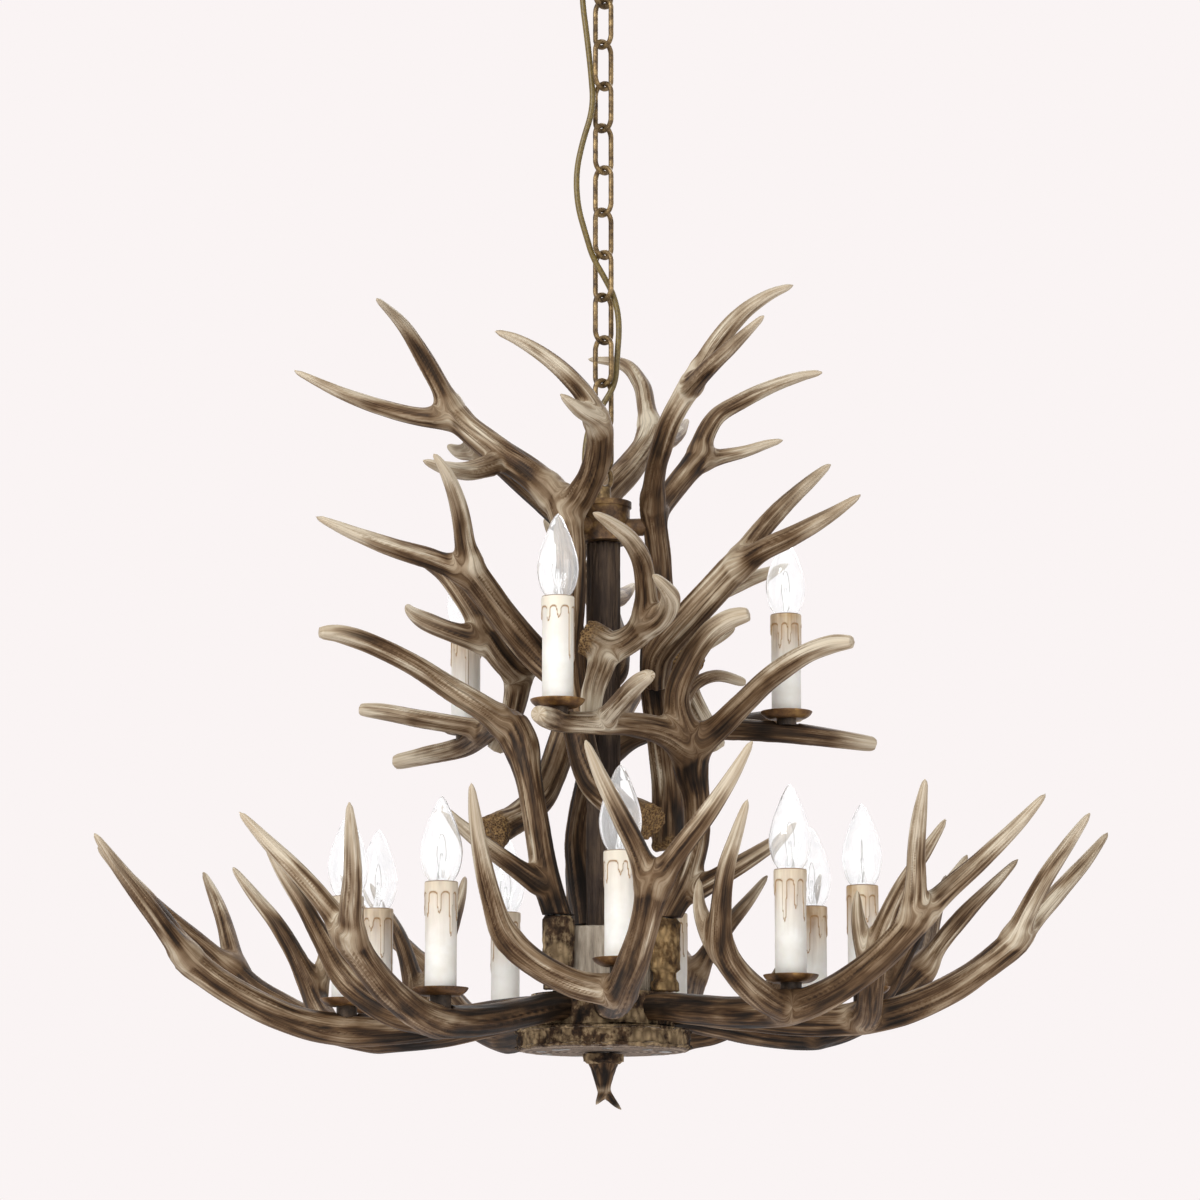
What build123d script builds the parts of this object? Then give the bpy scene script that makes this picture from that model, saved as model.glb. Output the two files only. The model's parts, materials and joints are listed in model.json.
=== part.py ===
"""Antler chandelier: nine lower candle lights, three upper ones, hung from the ceiling on a chain.

Millimetres, +Z up. The origin is the centre of the ceiling face of the bracket, on the axis of
the chain and column. The front of the chandelier faces -Y. Heights inside the frame are counted
from the hub's top joint plane, HUB_LEVEL.
"""
import math
import os

from build123d import *

# ---------------------------------------------------------------- driving dimensions
# ceiling parts
BRACKET_WIDTH = 20.0
BRACKET_THICKNESS = 2.5
EAR_HEIGHT = 16.0
CEILING_SCREW_SPACING = 80.0
CEILING_SCREW_RADIUS = 2.25
CANOPY_RADIUS = 60.0
CANOPY_HEIGHT = 36.0
CANOPY_WALL = 1.2
CANOPY_MOUTH_RADIUS = 31.0
CANOPY_SCREW_RADIUS = 2.0
HOOK_WIRE = 6.0
HOOK_BEND_RADIUS = 9.0
HOOK_NUT_HEIGHT = 6.0
HOOK_NUT_FLATS = 12.0
HOOK_DROP = 65.0

# chain and cable
LINK_COUNT = 11
LINK_PITCH = 40.0
LINK_WIRE = 4.8
LINK_WIDTH = 25.0
LINK_TURN = 45.0
LOOP_WIRE = 5.0
LOOP_RADIUS = 10.0
CABLE_RADIUS = 2.75
TERMINAL_LENGTH = 10.0
TERMINAL_WIDTH = 12.0
TERMINAL_HEIGHT = 12.0
# the cable's route, as (right, back, up above the hub), from the terminal block to the collar
CABLE_ROUTE = [
    (-20, 0, 988), (-20, 0, 952), (-15, -2, 912), (-11, 0, 876), (-9, -1, 844), (-19, -1, 812),
    (-25, -2, 782), (-23.5, -3, 750), (-15.5, -3, 722), (-9.5, -1, 702), (1, -0.8, 684), (10.6, 0, 665),
    (15, -0.5, 640), (12.5, 0, 608), (11, 0.5, 584), (-1, 0, 564), (-14, 2, 545), (-18, -3.5, 506),
    (-14.5, -4.9, 468),
]

# heights above the hub's joint plane
COLLAR_BOTTOM = 437.0
COLLAR_TOP = 469.0
LID_THICKNESS = 5.0
HUB_BLOCK_HEIGHT = 31.0
DRUM_HEIGHT = 57.0
POST_HEIGHT = 66.0

# column and hub
COLLAR_RADIUS = 24.0
COLLAR_WALL = 2.0
LID_OVERHANG = 1.5
LOOP_NECK = 13.65
NIPPLE_RADIUS = 6.8
STEM_IN_LOOP = 10.0
BUSH_RADIUS = 7.4
BUSH_BORE = 6.3
CABLE_ENTRY = (-14.5, -4.9)
STEM_RADIUS = 5.0
STEM_BORE = 3.6
COLUMN_RADIUS = 16.0
FLUTE_COUNT = 16
FLUTE_RADIUS = 2.0
HUB_BLOCK_RADIUS = 66.0
DISC_RADIUS = 81.0
DISC_THICKNESS = 21.0
DRUM_RADIUS = 45.0
POST_RADIUS = 15.0
POST_OUT = 56.0
POST_FIRST_ANGLE = 75.0
BOSS_RADIUS = 8.0
BOSS_HEIGHT = 450.0
FINIAL_CUP_RADIUS = 19.0
FINIAL_CUP_HEIGHT = 11.0
FINIAL_NECK_RADIUS = 7.5
FINIAL_CONE_HEIGHT = 26.0
STEM_IN_FINIAL = 18.0

# antlers
ARM_COUNT = 9
ARM_FIRST_ANGLE = 3.5
ARM_ROOT = 44.0
SEAT_OUT = 230.0
SEAT_UP = 20.0
ARM_TIP_OUT = 438.0
UPPER_SEAT_OUT = 174.0
UPPER_SEAT_ANGLE = -13.0
UPPER_SEAT_UP = 256.0
ROD_RADIUS = 3.0
ROD_IN_ANTLER = 14.0
ARM_SCREW_RADIUS = 2.5
ARM_SCREW_OUT = 56.0
ARM_SCREW_TOP_UP = 20.0
SCREW_HEAD_HEIGHT = 3.0

# candle lights
PAN_RADIUS = 24.0
PAN_FOOT_RADIUS = 15.5
PAN_DEPTH = 6.0
PAN_WALL = 1.0
LOWER_NUT_HEIGHT = 11.0
UPPER_NUT_HEIGHT = 6.0
PAN_NUT_RADIUS = 9.0
CANDLE_NIPPLE_RADIUS = 4.8
NIPPLE_BORE = 3.4
TOP_NUT_RADIUS = 8.0
TOP_NUT_HEIGHT = 3.0
NIPPLE_IN_ANTLER = 10.0
SLEEVE_RADIUS = 14.5
SLEEVE_WALL = 1.6
SLEEVE_HEIGHT = 95.0
HOLDER_RADIUS = 11.5
HOLDER_LENGTH = 50.0
HOLDER_SEAT = 10.0
HOLDER_BELOW_TOP = 4.0
SOCKET_RADIUS = 7.6
SOCKET_DEPTH = 22.0
CAP_RADIUS = 6.8
CAP_LENGTH = 20.0
BULB_RADIUS = 18.0
BULB_NECK_RADIUS = 8.2
BULB_HEIGHT = 73.0

# clearances
FIT = 0.1
PLAY = 0.3

# ---------------------------------------------------------------- heights that follow
HOOK_CONTACT = -HOOK_DROP
LOOP_CONTACT = HOOK_CONTACT - LINK_COUNT * LINK_PITCH
LOOP_HEIGHT = COLLAR_TOP + LID_THICKNESS + LOOP_NECK + 2 * LOOP_RADIUS - LOOP_WIRE / 2 - PLAY / 2
HUB_LEVEL = LOOP_CONTACT - LOOP_HEIGHT
BLOCK_BOTTOM = HUB_LEVEL
BLOCK_TOP = BLOCK_BOTTOM + HUB_BLOCK_HEIGHT
DRUM_TOP = BLOCK_TOP + DRUM_HEIGHT
POST_TOP = BLOCK_TOP + POST_HEIGHT
DISC_BOTTOM = BLOCK_BOTTOM - DISC_THICKNESS
COLLAR_FLOOR = HUB_LEVEL + COLLAR_BOTTOM
COLLAR_RIM = HUB_LEVEL + COLLAR_TOP
LID_TOP = COLLAR_RIM + LID_THICKNESS

# ---------------------------------------------------------------- antler moulds
# Each antler is one casting: a beam and its tines. A branch is a list of stations along its
# centreline, each (first, second, up, radius). The lower arm is written in its own directions,
# out from the column and sideways; the others as (right, back, up) where the first one stands.
LOWER_BEAM = [
    (44, 0, 16, 13), (75, 0, 16, 13.4), (120, 0, 12, 14), (175, 0, 8, 14.6), (228, 0, 10, 15),
    (262, 3, 18, 14.2), (300, 9, 36, 13.4), (332, 14, 58, 13), (360, 18, 82, 12.8),
]
LOWER_TINES = [
    [(353, 17, 75, 11.8), (374, 34, 102, 9.8), (396, 56, 130, 8.4), (418, 75, 158, 6.2), (438, 91, 186, 2.2)],
    [(353, 17, 75, 11.8), (368, 5, 106, 9.6), (385, -12, 136, 8.2), (404, -28, 163, 6), (422, -41, 188, 2.2)],
    [(226, 2, 10, 13.6), (236, -38, 16, 12.8), (240, -74, 34, 12), (244, -97, 56, 11.2), (254, -108, 84, 9.4),
     (269, -117, 116, 7.8), (288, -123, 145, 5.8), (305, -127, 172, 2.2)],
    [(242, -88, 44, 9.6), (234, -103, 67, 7.6), (231, -110, 89, 5.8), (231, -110, 113, 2.0)],
]
UPRIGHT_BEAM = [
    (50, -13, 84, 13.5), (57, -15, 100, 13.5), (72, -18, 131, 13), (82, -20, 166, 12.6),
    (82, -28, 202, 13), (77, -40, 231, 17), (79, -50, 250, 16),
]
UPRIGHT_TINES = [
    [(78, -46, 240, 15.5), (53, -70, 255, 13), (25, -98, 258, 11.6), (-7, -132, 254, 10.4),
     (-38, -172, 250, 10.2), (-48, -215, 247, 9.4), (-54, -256, 244, 7.6)],
    [(0, -124, 258, 8.8), (17, -178, 269, 9), (30, -214, 277, 8.2), (39, -236, 280, 6)],
    [(79, -50, 244, 14), (99, -62, 258, 12.4), (120, -85, 276, 11.4), (145, -110, 297, 10.6),
     (173, -135, 313, 9.8), (197, -152, 320, 8.8), (214, -163, 320, 6)],
    [(74, -16, 116, 10.6), (103, -30, 132, 9.4), (133, -45, 149, 8), (155, -56, 163, 5.6), (171, -64, 177, 2)],
]
UPRIGHT_SPRIG = [(74, -58, 250, 12.6), (64, -72, 284, 12), (76, -77, 317, 11.4), (93, -80, 341, 10.6),
                 (111, -85, 353, 9.4), (128, -90, 357, 7)]
UPRIGHT_SPUR = [(63, -64, 272, 9), (80, -40, 301, 6.6), (101, -25, 312, 5.8), (127, -10, 308, 4.4)]
MIDDLE_BEAM = [
    (-36, -34, 306, 12.4), (-46, -28, 316, 13.6), (-60, -24, 331, 14.4), (-86, -40, 359, 14.8),
    (-106, -58, 384, 14.6), (-119, -70, 400, 13.4),
]
MIDDLE_TINES = [
    [(-116, -68, 396, 12.5), (-122, -86, 423, 9.8), (-127, -110, 449, 8.6), (-136, -134, 472, 6.2),
     (-148, -150, 489, 2.2)],
    [(-114, -66, 394, 12.5), (-148, -76, 407, 10.2), (-184, -88, 416, 9), (-219, -100, 427, 6.6),
     (-253, -111, 440, 2.2)],
]
INNER_BEAM = [(-16, -84, 338, 18), (-9, -86, 335, 16), (8, -88, 328, 13.6), (26, -92, 336, 13),
              (38, -100, 350, 12.2)]
INNER_TINES = [
    [(36, -98, 346, 11.8), (37, -120, 371, 10), (33, -146, 394, 9.2), (21, -175, 409, 8),
     (5, -195, 418, 5.6), (-10, -207, 425, 2.2)],
    [(35, -97, 343, 11.6), (52, -122, 350, 10), (58, -152, 360, 8.8), (50, -173, 369, 5.4), (41, -184, 376, 2)],
    [(2, -87, 330, 13), (-3, -93, 307, 12.2), (-9, -103, 286, 10.8), (-12, -121, 258, 8.8)],
]
TOP_BEAM = [
    (42, -92, 171, 18), (34, -86, 178, 15.6), (13, -75, 190, 14.4), (-9, -60, 213, 14.4),
    (-22, -46, 258, 14.2), (-28, -36, 299, 13.8), (-31, -33, 335, 13.6), (-29, -42, 375, 13.6),
    (-29, -42, 413, 14), (-33, -36, 450, 15), (-42, -24, 480, 16),
]
TOP_TINES = [
    [(-38, -28, 468, 15.6), (-62, -15, 495, 15), (-93, -4, 519, 14.2), (-121, 3, 542, 13.2),
     (-139, 5, 560, 12.2)],
    [(-136, 5, 557, 12), (-147, -2, 579, 9.8), (-163, -12, 606, 8.8), (-181, -34, 631, 6.4),
     (-203, -78, 645, 2.2)],
    [(-132, 4, 554, 12), (-163, 8, 555, 9.6), (-195, 8, 562, 8.4), (-236, 5, 576, 6.4), (-282, 0, 597, 2.2)],
    [(-34, -33, 458, 14.6), (-20, -49, 471, 13.8), (-9, -68, 489, 13.2), (-3, -92, 509, 12.4),
     (-3, -110, 524, 11.4)],
    [(-3, -106, 520, 11), (-14, -130, 541, 9.6), (-31, -146, 558, 8.6), (-53, -158, 574, 7),
     (-75, -168, 585, 5), (-95, -175, 591, 2.2)],
    [(-3, -104, 518, 10.6), (-8, -124, 524, 8.4), (-21, -144, 528, 6.8), (-38, -163, 538, 2.2)],
]
TOP_SPUR = [(-96, -12, 508, 11.4), (-122, -44, 494, 9), (-143, -76, 491, 6), (-160, -92, 494, 2.2)]
SLENDER_BEAM = [
    (58, 40, 162, 15.4), (58, 37, 190, 15.2), (57, 26, 225, 14.8), (52, 9, 262, 14.2), (46, -4, 299, 13.4),
    (45, -7, 335, 13), (52, -4, 375, 12.8), (51, -5, 412, 12.2), (47, -11, 448, 11.4), (43, -21, 472, 11.4),
]
SLENDER_TINES = [
    [(44, -18, 464, 11), (46, -46, 490, 10.4), (52, -76, 511, 10.2), (61, -100, 532, 10.4),
     (82, -122, 564, 10.4)],
    [(80, -120, 560, 10), (99, -132, 590, 9.2), (122, -138, 616, 7.6), (145, -139, 632, 5.4),
     (168, -137, 642, 2.2)],
    [(74, -114, 552, 9.8), (91, -166, 560, 8.2), (112, -205, 572, 6.2), (137, -244, 588, 2.2)],
    [(45, -14, 458, 11), (53, 6, 474, 11.4), (67, 25, 496, 11.4), (87, 42, 524, 11.2)],
    [(84, 40, 520, 10.6), (94, 50, 549, 9.8), (106, 53, 567, 8.8), (127, 48, 579, 8), (154, 36, 590, 6.8),
     (181, 20, 596, 4.8), (201, 7, 597, 2.2)],
    [(84, 40, 519, 10.2), (107, 55, 528, 7.6), (130, 54, 533, 6.2), (149, 52, 539, 4.4), (167, 48, 543, 2)],
]

# Every casting is set by hand, so no two stand quite alike. Lower arms: (stretch, droop) at the
# tip. The others: (turn about the column, lift of the tips above the mould's own height).
ARM_FIT = [(0, -12), (0, 8), (10, 6), (22, 14), (16, 8), (16, 8), (24, 24), (26, 34), (22, 36)]
UPRIGHT_FIT = [(0, 0), (120, 22), (240, 18)]
MIDDLE_FIT = [(0, 0), (120, 11), (240, 11)]
INNER_FIT = [(0, 0), (126, 14), (240, 26)]
TOP_FIT = [(0, 0), (253, 14)]
UPRIGHT_RISE = (100, 150)
MIDDLE_RISE = (320, 150)
INNER_RISE = (330, 80)
TOP_RISE = (480, 110)


# ---------------------------------------------------------------- helpers
def turned(point, angle):
    """(right, back, up) turned about the column; a positive angle goes from the front to the right."""
    right, back, up = point
    cosine, sine = math.cos(math.radians(angle)), math.sin(math.radians(angle))
    return Vector(right * cosine - back * sine, right * sine + back * cosine, up)


def raised(up, lift, rise):
    """Height of a station when the casting's tips stand lift higher; rise is (start, height)."""
    start, height = rise
    return HUB_LEVEL + up + lift * min(1.0, max(0.0, (up - start) / height))


def placed(branch, fit, rise):
    """Stations of one branch, turned about the column and lifted to the hub's level."""
    turn, lift = fit
    return [(turned((right, back, raised(up, lift, rise)), turn), radius)
            for right, back, up, radius in branch]


def arm_placed(branch, number):
    """Stations of one branch of lower arm 0 to 8, with that arm's own stretch and droop."""
    stretch, droop = ARM_FIT[number]
    stations = []
    for out, side, up, radius in branch:
        past_seat = max(0.0, out - SEAT_OUT) / (ARM_TIP_OUT - SEAT_OUT)
        new_out = out + stretch * past_seat
        new_up = HUB_LEVEL + up - arm_droop(droop, out)
        stations.append((turned((side, -new_out, new_up), arm_angle(number)), radius))
    return stations


def arm_angle(number):
    return ARM_FIRST_ANGLE + number * 360.0 / ARM_COUNT


def arm_droop(droop, out):
    return droop * max(0.0, out - HUB_BLOCK_RADIUS) / (ARM_TIP_OUT - HUB_BLOCK_RADIUS)


def station_planes(stations):
    """A plane across the branch at each station; its x direction is carried along without twist."""
    points = [point for point, radius in stations]
    planes = []
    across = None
    for index, point in enumerate(points):
        before = points[max(0, index - 1)]
        after = points[min(len(points) - 1, index + 1)]
        along = (after - before).normalized()
        if across is None:
            across = along.cross(Vector(0.3, 0.2, 0.9)).normalized()
        across = (across - along * across.dot(along)).normalized()
        planes.append(Plane(origin=point, x_dir=across, z_dir=along))
    return planes


def antler(branches):
    """One casting: a smooth loft through round sections along each branch, joined together."""
    with BuildPart() as casting:
        for stations in branches:
            for plane, (point, radius) in zip(station_planes(stations), stations):
                with BuildSketch(plane):
                    Circle(radius)
            loft()
    return casting.part


def save(part, name):
    part.label = name
    export_step(part, f"parts/{name}.step")


def light_places():
    """Axis point at the antler's seat for each candle light: nine lower, then three upper."""
    places = []
    for number in range(ARM_COUNT):
        stretch, droop = ARM_FIT[number]
        height = HUB_LEVEL + SEAT_UP - arm_droop(droop, SEAT_OUT)
        places.append(turned((0, -SEAT_OUT, height), arm_angle(number)))
    for fit in UPRIGHT_FIT:
        height = raised(UPPER_SEAT_UP, fit[1], UPRIGHT_RISE)
        places.append(turned((0, -UPPER_SEAT_OUT, height), UPPER_SEAT_ANGLE + fit[0]))
    return places


os.makedirs("parts", exist_ok=True)
LIGHTS = light_places()
LOWER_LIGHTS = LIGHTS[:ARM_COUNT]
UPPER_LIGHTS = LIGHTS[ARM_COUNT:]

# ---------------------------------------------------------------- antlers as cast
lower_antlers = []
for number in range(ARM_COUNT):
    branches = [arm_placed(branch, number) for branch in [LOWER_BEAM] + LOWER_TINES]
    lower_antlers.append(antler(branches))

upright_antlers = []
for index, fit in enumerate(UPRIGHT_FIT):
    mould = [UPRIGHT_BEAM] + UPRIGHT_TINES
    if index == 0:
        mould = mould + [UPRIGHT_SPRIG, UPRIGHT_SPUR]
    upright_antlers.append(antler([placed(branch, fit, UPRIGHT_RISE) for branch in mould]))

middle_antlers = [antler([placed(branch, fit, MIDDLE_RISE) for branch in [MIDDLE_BEAM] + MIDDLE_TINES])
                  for fit in MIDDLE_FIT]
inner_antlers = [antler([placed(branch, fit, INNER_RISE) for branch in [INNER_BEAM] + INNER_TINES])
                 for fit in INNER_FIT]

full_top = [antler([placed(branch, TOP_FIT[0], TOP_RISE) for branch in [TOP_BEAM] + TOP_TINES + [TOP_SPUR]])]
full_top.append(antler([placed(branch, TOP_FIT[1], TOP_RISE) for branch in [TOP_BEAM] + TOP_TINES]))
slender_top = antler([placed(branch, TOP_FIT[0], TOP_RISE) for branch in [SLENDER_BEAM] + SLENDER_TINES])
top_antlers = [full_top[0], slender_top, full_top[1]]


# ---------------------------------------------------------------- simple solids
def post(base, radius, height, bore=0.0):
    """An upright round bar standing on the point base; with a bore it is a tube."""
    with BuildPart() as bar:
        with Locations(base):
            Cylinder(radius, height, align=(Align.CENTER, Align.CENTER, Align.MIN))
            if bore > 0:
                Cylinder(bore, height, align=(Align.CENTER, Align.CENTER, Align.MIN), mode=Mode.SUBTRACT)
    return bar.part


def bar_between(start, end, radius):
    with BuildPart() as bar:
        with BuildSketch(Plane(origin=start, z_dir=end - start)):
            Circle(radius)
        extrude(amount=(end - start).length)
    return bar.part


def turned_piece(outline, base):
    """A solid of revolution about the upright line through base; outline is (radius, height) points."""
    with BuildPart() as piece:
        with BuildSketch(Plane(origin=base, x_dir=(1, 0, 0), z_dir=(0, -1, 0))):
            with BuildLine():
                Polyline(*outline, close=True)
            make_face()
        revolve(axis=Axis(base, (0, 0, 1)))
    return piece.part


def group(parts):
    """Several loose solids kept as one sub-part."""
    with BuildPart() as together:
        for solid in parts:
            add(solid)
    return together.part


def cut_by(part, tools):
    """The largest piece left of part when all the tools are cut from it."""
    for tool in tools:
        part = part - tool
    solids = part.solids()
    return Part() + max(solids, key=lambda solid: solid.volume)


def link(top, bottom, wire, width, angle):
    """One round-wire link in the upright plane at angle; top and bottom are its wire centres."""
    bend = (width - wire) / 2
    middle = (top + bottom) / 2
    side = (top - bottom) / 2 - bend
    across = Vector(math.cos(math.radians(angle)), math.sin(math.radians(angle)), 0)
    plane = Plane(origin=(0, 0, middle), x_dir=across, z_dir=across.cross(Vector(0, 0, 1)))
    with BuildPart() as piece:
        with BuildLine(plane) as path:
            if side > 0:
                Line((bend, side), (bend, -side))
            CenterArc((0, -side), bend, 0, -180)
            if side > 0:
                Line((-bend, -side), (-bend, side))
            CenterArc((0, side), bend, 180, -180)
        with BuildSketch(Plane(origin=path.line @ 0, z_dir=path.line % 0)):
            Circle(wire / 2)
        sweep()
    return piece.part


# ---------------------------------------------------------------- hub
hub_base = Vector(0, 0, HUB_LEVEL)
stem_bore = post(Vector(0, 0, DISC_BOTTOM), STEM_RADIUS + FIT, LID_TOP + STEM_IN_LOOP - DISC_BOTTOM)

post_places = [turned((0, -POST_OUT, BLOCK_TOP), POST_FIRST_ANGLE + 120 * k) for k in range(3)]
arm_screw_places = [turned((0, -ARM_SCREW_OUT, DISC_BOTTOM), arm_angle(k)) for k in range(ARM_COUNT)]
rod_places = [Vector(place.X, place.Y, DISC_BOTTOM) for place in post_places]
SCREW_TOP = HUB_LEVEL + ARM_SCREW_TOP_UP
ROD_TOP = POST_TOP + ROD_IN_ANTLER


def headed_screw(place, radius, top, clearance=0.0):
    """A screw with its head let into the disc from below."""
    shank = post(place, radius + clearance, top + clearance - place.Z)
    head = post(place, 1.8 * radius + clearance, SCREW_HEAD_HEIGHT + clearance)
    return shank + head


frame_screws = [headed_screw(place, ARM_SCREW_RADIUS, SCREW_TOP) for place in arm_screw_places]
frame_screws += [headed_screw(place, ROD_RADIUS, ROD_TOP) for place in rod_places]
screw_holes = [headed_screw(place, ARM_SCREW_RADIUS, SCREW_TOP, FIT) for place in arm_screw_places]
rod_holes = [headed_screw(place, ROD_RADIUS, ROD_TOP, FIT) for place in rod_places]

hub_disc = cut_by(post(Vector(0, 0, DISC_BOTTOM), DISC_RADIUS, DISC_THICKNESS),
                  [stem_bore] + screw_holes + rod_holes)
hub_block = cut_by(post(hub_base, HUB_BLOCK_RADIUS, HUB_BLOCK_HEIGHT),
                   [stem_bore] + screw_holes + rod_holes + lower_antlers)
hub_drum = cut_by(post(Vector(0, 0, BLOCK_TOP), DRUM_RADIUS, DRUM_HEIGHT), [stem_bore])
upright_posts = [cut_by(post(place, POST_RADIUS, POST_HEIGHT), [hub_drum] + rod_holes)
                 for place in post_places]

finial_top = Vector(0, 0, DISC_BOTTOM)
finial_outline = [
    (0, 0), (FINIAL_CUP_RADIUS, 0), (FINIAL_CUP_RADIUS, -FINIAL_CUP_HEIGHT + 3),
    (FINIAL_CUP_RADIUS - 4, -FINIAL_CUP_HEIGHT), (FINIAL_NECK_RADIUS + 5, -FINIAL_CUP_HEIGHT - 2),
    (FINIAL_NECK_RADIUS + 4, -FINIAL_CUP_HEIGHT - 9), (FINIAL_NECK_RADIUS, -FINIAL_CUP_HEIGHT - 20),
    (4, -FINIAL_CUP_HEIGHT - FINIAL_CONE_HEIGHT), (0, -FINIAL_CUP_HEIGHT - FINIAL_CONE_HEIGHT),
]
FINIAL_TINES = [
    [(1, 0, -48, 4.4), (0, -1, -55, 4), (-3, -3, -61, 3.2), (-7, -4, -67, 1.6)],
    [(-1, 0, -48, 4.4), (3, 0, -56, 4), (9, 1, -64, 3), (16, 2, -71, 1.6)],
]
finial = turned_piece(finial_outline, finial_top)
finial = finial + antler([[(Vector(x, y, HUB_LEVEL + up), radius) for x, y, up, radius in tine]
                          for tine in FINIAL_TINES])
finial = cut_by(finial, [post(Vector(0, 0, DISC_BOTTOM - STEM_IN_FINIAL), STEM_RADIUS + FIT,
                              STEM_IN_FINIAL)])

# ---------------------------------------------------------------- column, collar and loop
STEM_BOTTOM = DISC_BOTTOM - STEM_IN_FINIAL + FIT
STEM_TOP = LID_TOP + STEM_IN_LOOP
stem_tube = post(Vector(0, 0, STEM_BOTTOM), STEM_RADIUS, STEM_TOP - STEM_BOTTOM, STEM_BORE)
wire_hole = bar_between(Vector(-2 * STEM_RADIUS, 0, COLLAR_RIM - 12), Vector(0, 0, COLLAR_RIM - 12), 2.4)
stem_tube = cut_by(stem_tube, [wire_hole])

with BuildPart() as column:
    with BuildSketch(Plane(origin=(0, 0, DRUM_TOP))):
        Circle(COLUMN_RADIUS)
        with PolarLocations(COLUMN_RADIUS, FLUTE_COUNT):
            Circle(FLUTE_RADIUS, mode=Mode.SUBTRACT)
        Circle(STEM_RADIUS + FIT, mode=Mode.SUBTRACT)
    extrude(amount=COLLAR_FLOOR - DRUM_TOP)

collar_outline = [
    (STEM_RADIUS + FIT, 0), (COLLAR_RADIUS, 0), (COLLAR_RADIUS, COLLAR_TOP - COLLAR_BOTTOM),
    (COLLAR_RADIUS - COLLAR_WALL, COLLAR_TOP - COLLAR_BOTTOM), (COLLAR_RADIUS - COLLAR_WALL, 3),
    (STEM_RADIUS + FIT, 3),
]
collar = turned_piece(collar_outline, Vector(0, 0, COLLAR_FLOOR))
cable_entry = Vector(CABLE_ENTRY[0], CABLE_ENTRY[1], COLLAR_RIM)
collar_lid = cut_by(post(Vector(0, 0, COLLAR_RIM), COLLAR_RADIUS + LID_OVERHANG, LID_THICKNESS),
                    [stem_bore, post(cable_entry, BUSH_RADIUS + FIT, LID_THICKNESS)])
bush_outline = [
    (BUSH_BORE, 0), (BUSH_RADIUS, 0), (BUSH_RADIUS, LID_THICKNESS), (BUSH_RADIUS + 0.7, LID_THICKNESS),
    (BUSH_RADIUS + 0.7, LID_THICKNESS + 1.2), (BUSH_BORE, LID_THICKNESS + 1.2),
]
cable_bush = turned_piece(bush_outline, cable_entry)

LOOP_TOP_WIRE = LOOP_CONTACT + LOOP_WIRE / 2 + PLAY / 2
hanging_loop = link(LOOP_TOP_WIRE, LOOP_TOP_WIRE - 2 * LOOP_RADIUS, LOOP_WIRE,
                    2 * LOOP_RADIUS + LOOP_WIRE, LINK_TURN)
hanging_loop = hanging_loop + post(Vector(0, 0, LID_TOP), NIPPLE_RADIUS,
                                   LOOP_TOP_WIRE - 2 * LOOP_RADIUS - LID_TOP)
hanging_loop = cut_by(hanging_loop, [post(Vector(0, 0, LID_TOP), STEM_RADIUS + FIT, STEM_IN_LOOP + FIT)])


def beam_point(stations, height):
    """Point on a beam's centreline at the given height."""
    for (low, low_radius), (high, high_radius) in zip(stations, stations[1:]):
        if low.Z <= height <= high.Z:
            return low + (high - low) * ((height - low.Z) / (high.Z - low.Z))
    return stations[-1][0]


# ---------------------------------------------------------------- chain, hook, canopy and cable
link_contacts = [HOOK_CONTACT - LINK_PITCH * k for k in range(LINK_COUNT + 1)]
links = []
for index in range(LINK_COUNT):
    top = link_contacts[index] + LINK_WIRE / 2
    bottom = link_contacts[index + 1] - LINK_WIRE / 2
    if index <= 1:
        top = top + PLAY / 2
    if index == 0 or index == LINK_COUNT - 1:
        bottom = bottom - PLAY / 2
    links.append(link(top, bottom, LINK_WIRE, LINK_WIDTH, -LINK_TURN if index % 2 == 0 else LINK_TURN))
chain_top_link = links[0]
chain_links = group(links[1:])

hook_centre = HOOK_CONTACT - HOOK_WIRE / 2 - PLAY / 2 + HOOK_BEND_RADIUS
hook_across = Vector(math.cos(math.radians(LINK_TURN)), math.sin(math.radians(LINK_TURN)), 0)
hook_plane = Plane(origin=(0, 0, hook_centre), x_dir=hook_across, z_dir=hook_across.cross(Vector(0, 0, 1)))
neck_height = 2 * HOOK_BEND_RADIUS * math.sin(math.radians(60))
with BuildPart() as ceiling_hook:
    with BuildLine(hook_plane) as hook_path:
        CenterArc((0, 0), HOOK_BEND_RADIUS, 165, 255)
        CenterArc((HOOK_BEND_RADIUS, neck_height), HOOK_BEND_RADIUS, 240, -60)
        Line((0, neck_height), (0, -hook_centre))
    with BuildSketch(Plane(origin=hook_path.line @ 0, z_dir=hook_path.line % 0)):
        Circle(HOOK_WIRE / 2)
    sweep()

hook_bore = post(Vector(0, 0, -20), HOOK_WIRE / 2 + FIT, 20)
with BuildPart() as hook_nut:
    with BuildSketch(Plane(origin=(0, 0, -BRACKET_THICKNESS - HOOK_NUT_HEIGHT))):
        RegularPolygon(HOOK_NUT_FLATS / 2, 6, major_radius=False)
        Circle(HOOK_WIRE / 2 + FIT, mode=Mode.SUBTRACT)
    extrude(amount=HOOK_NUT_HEIGHT)

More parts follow.
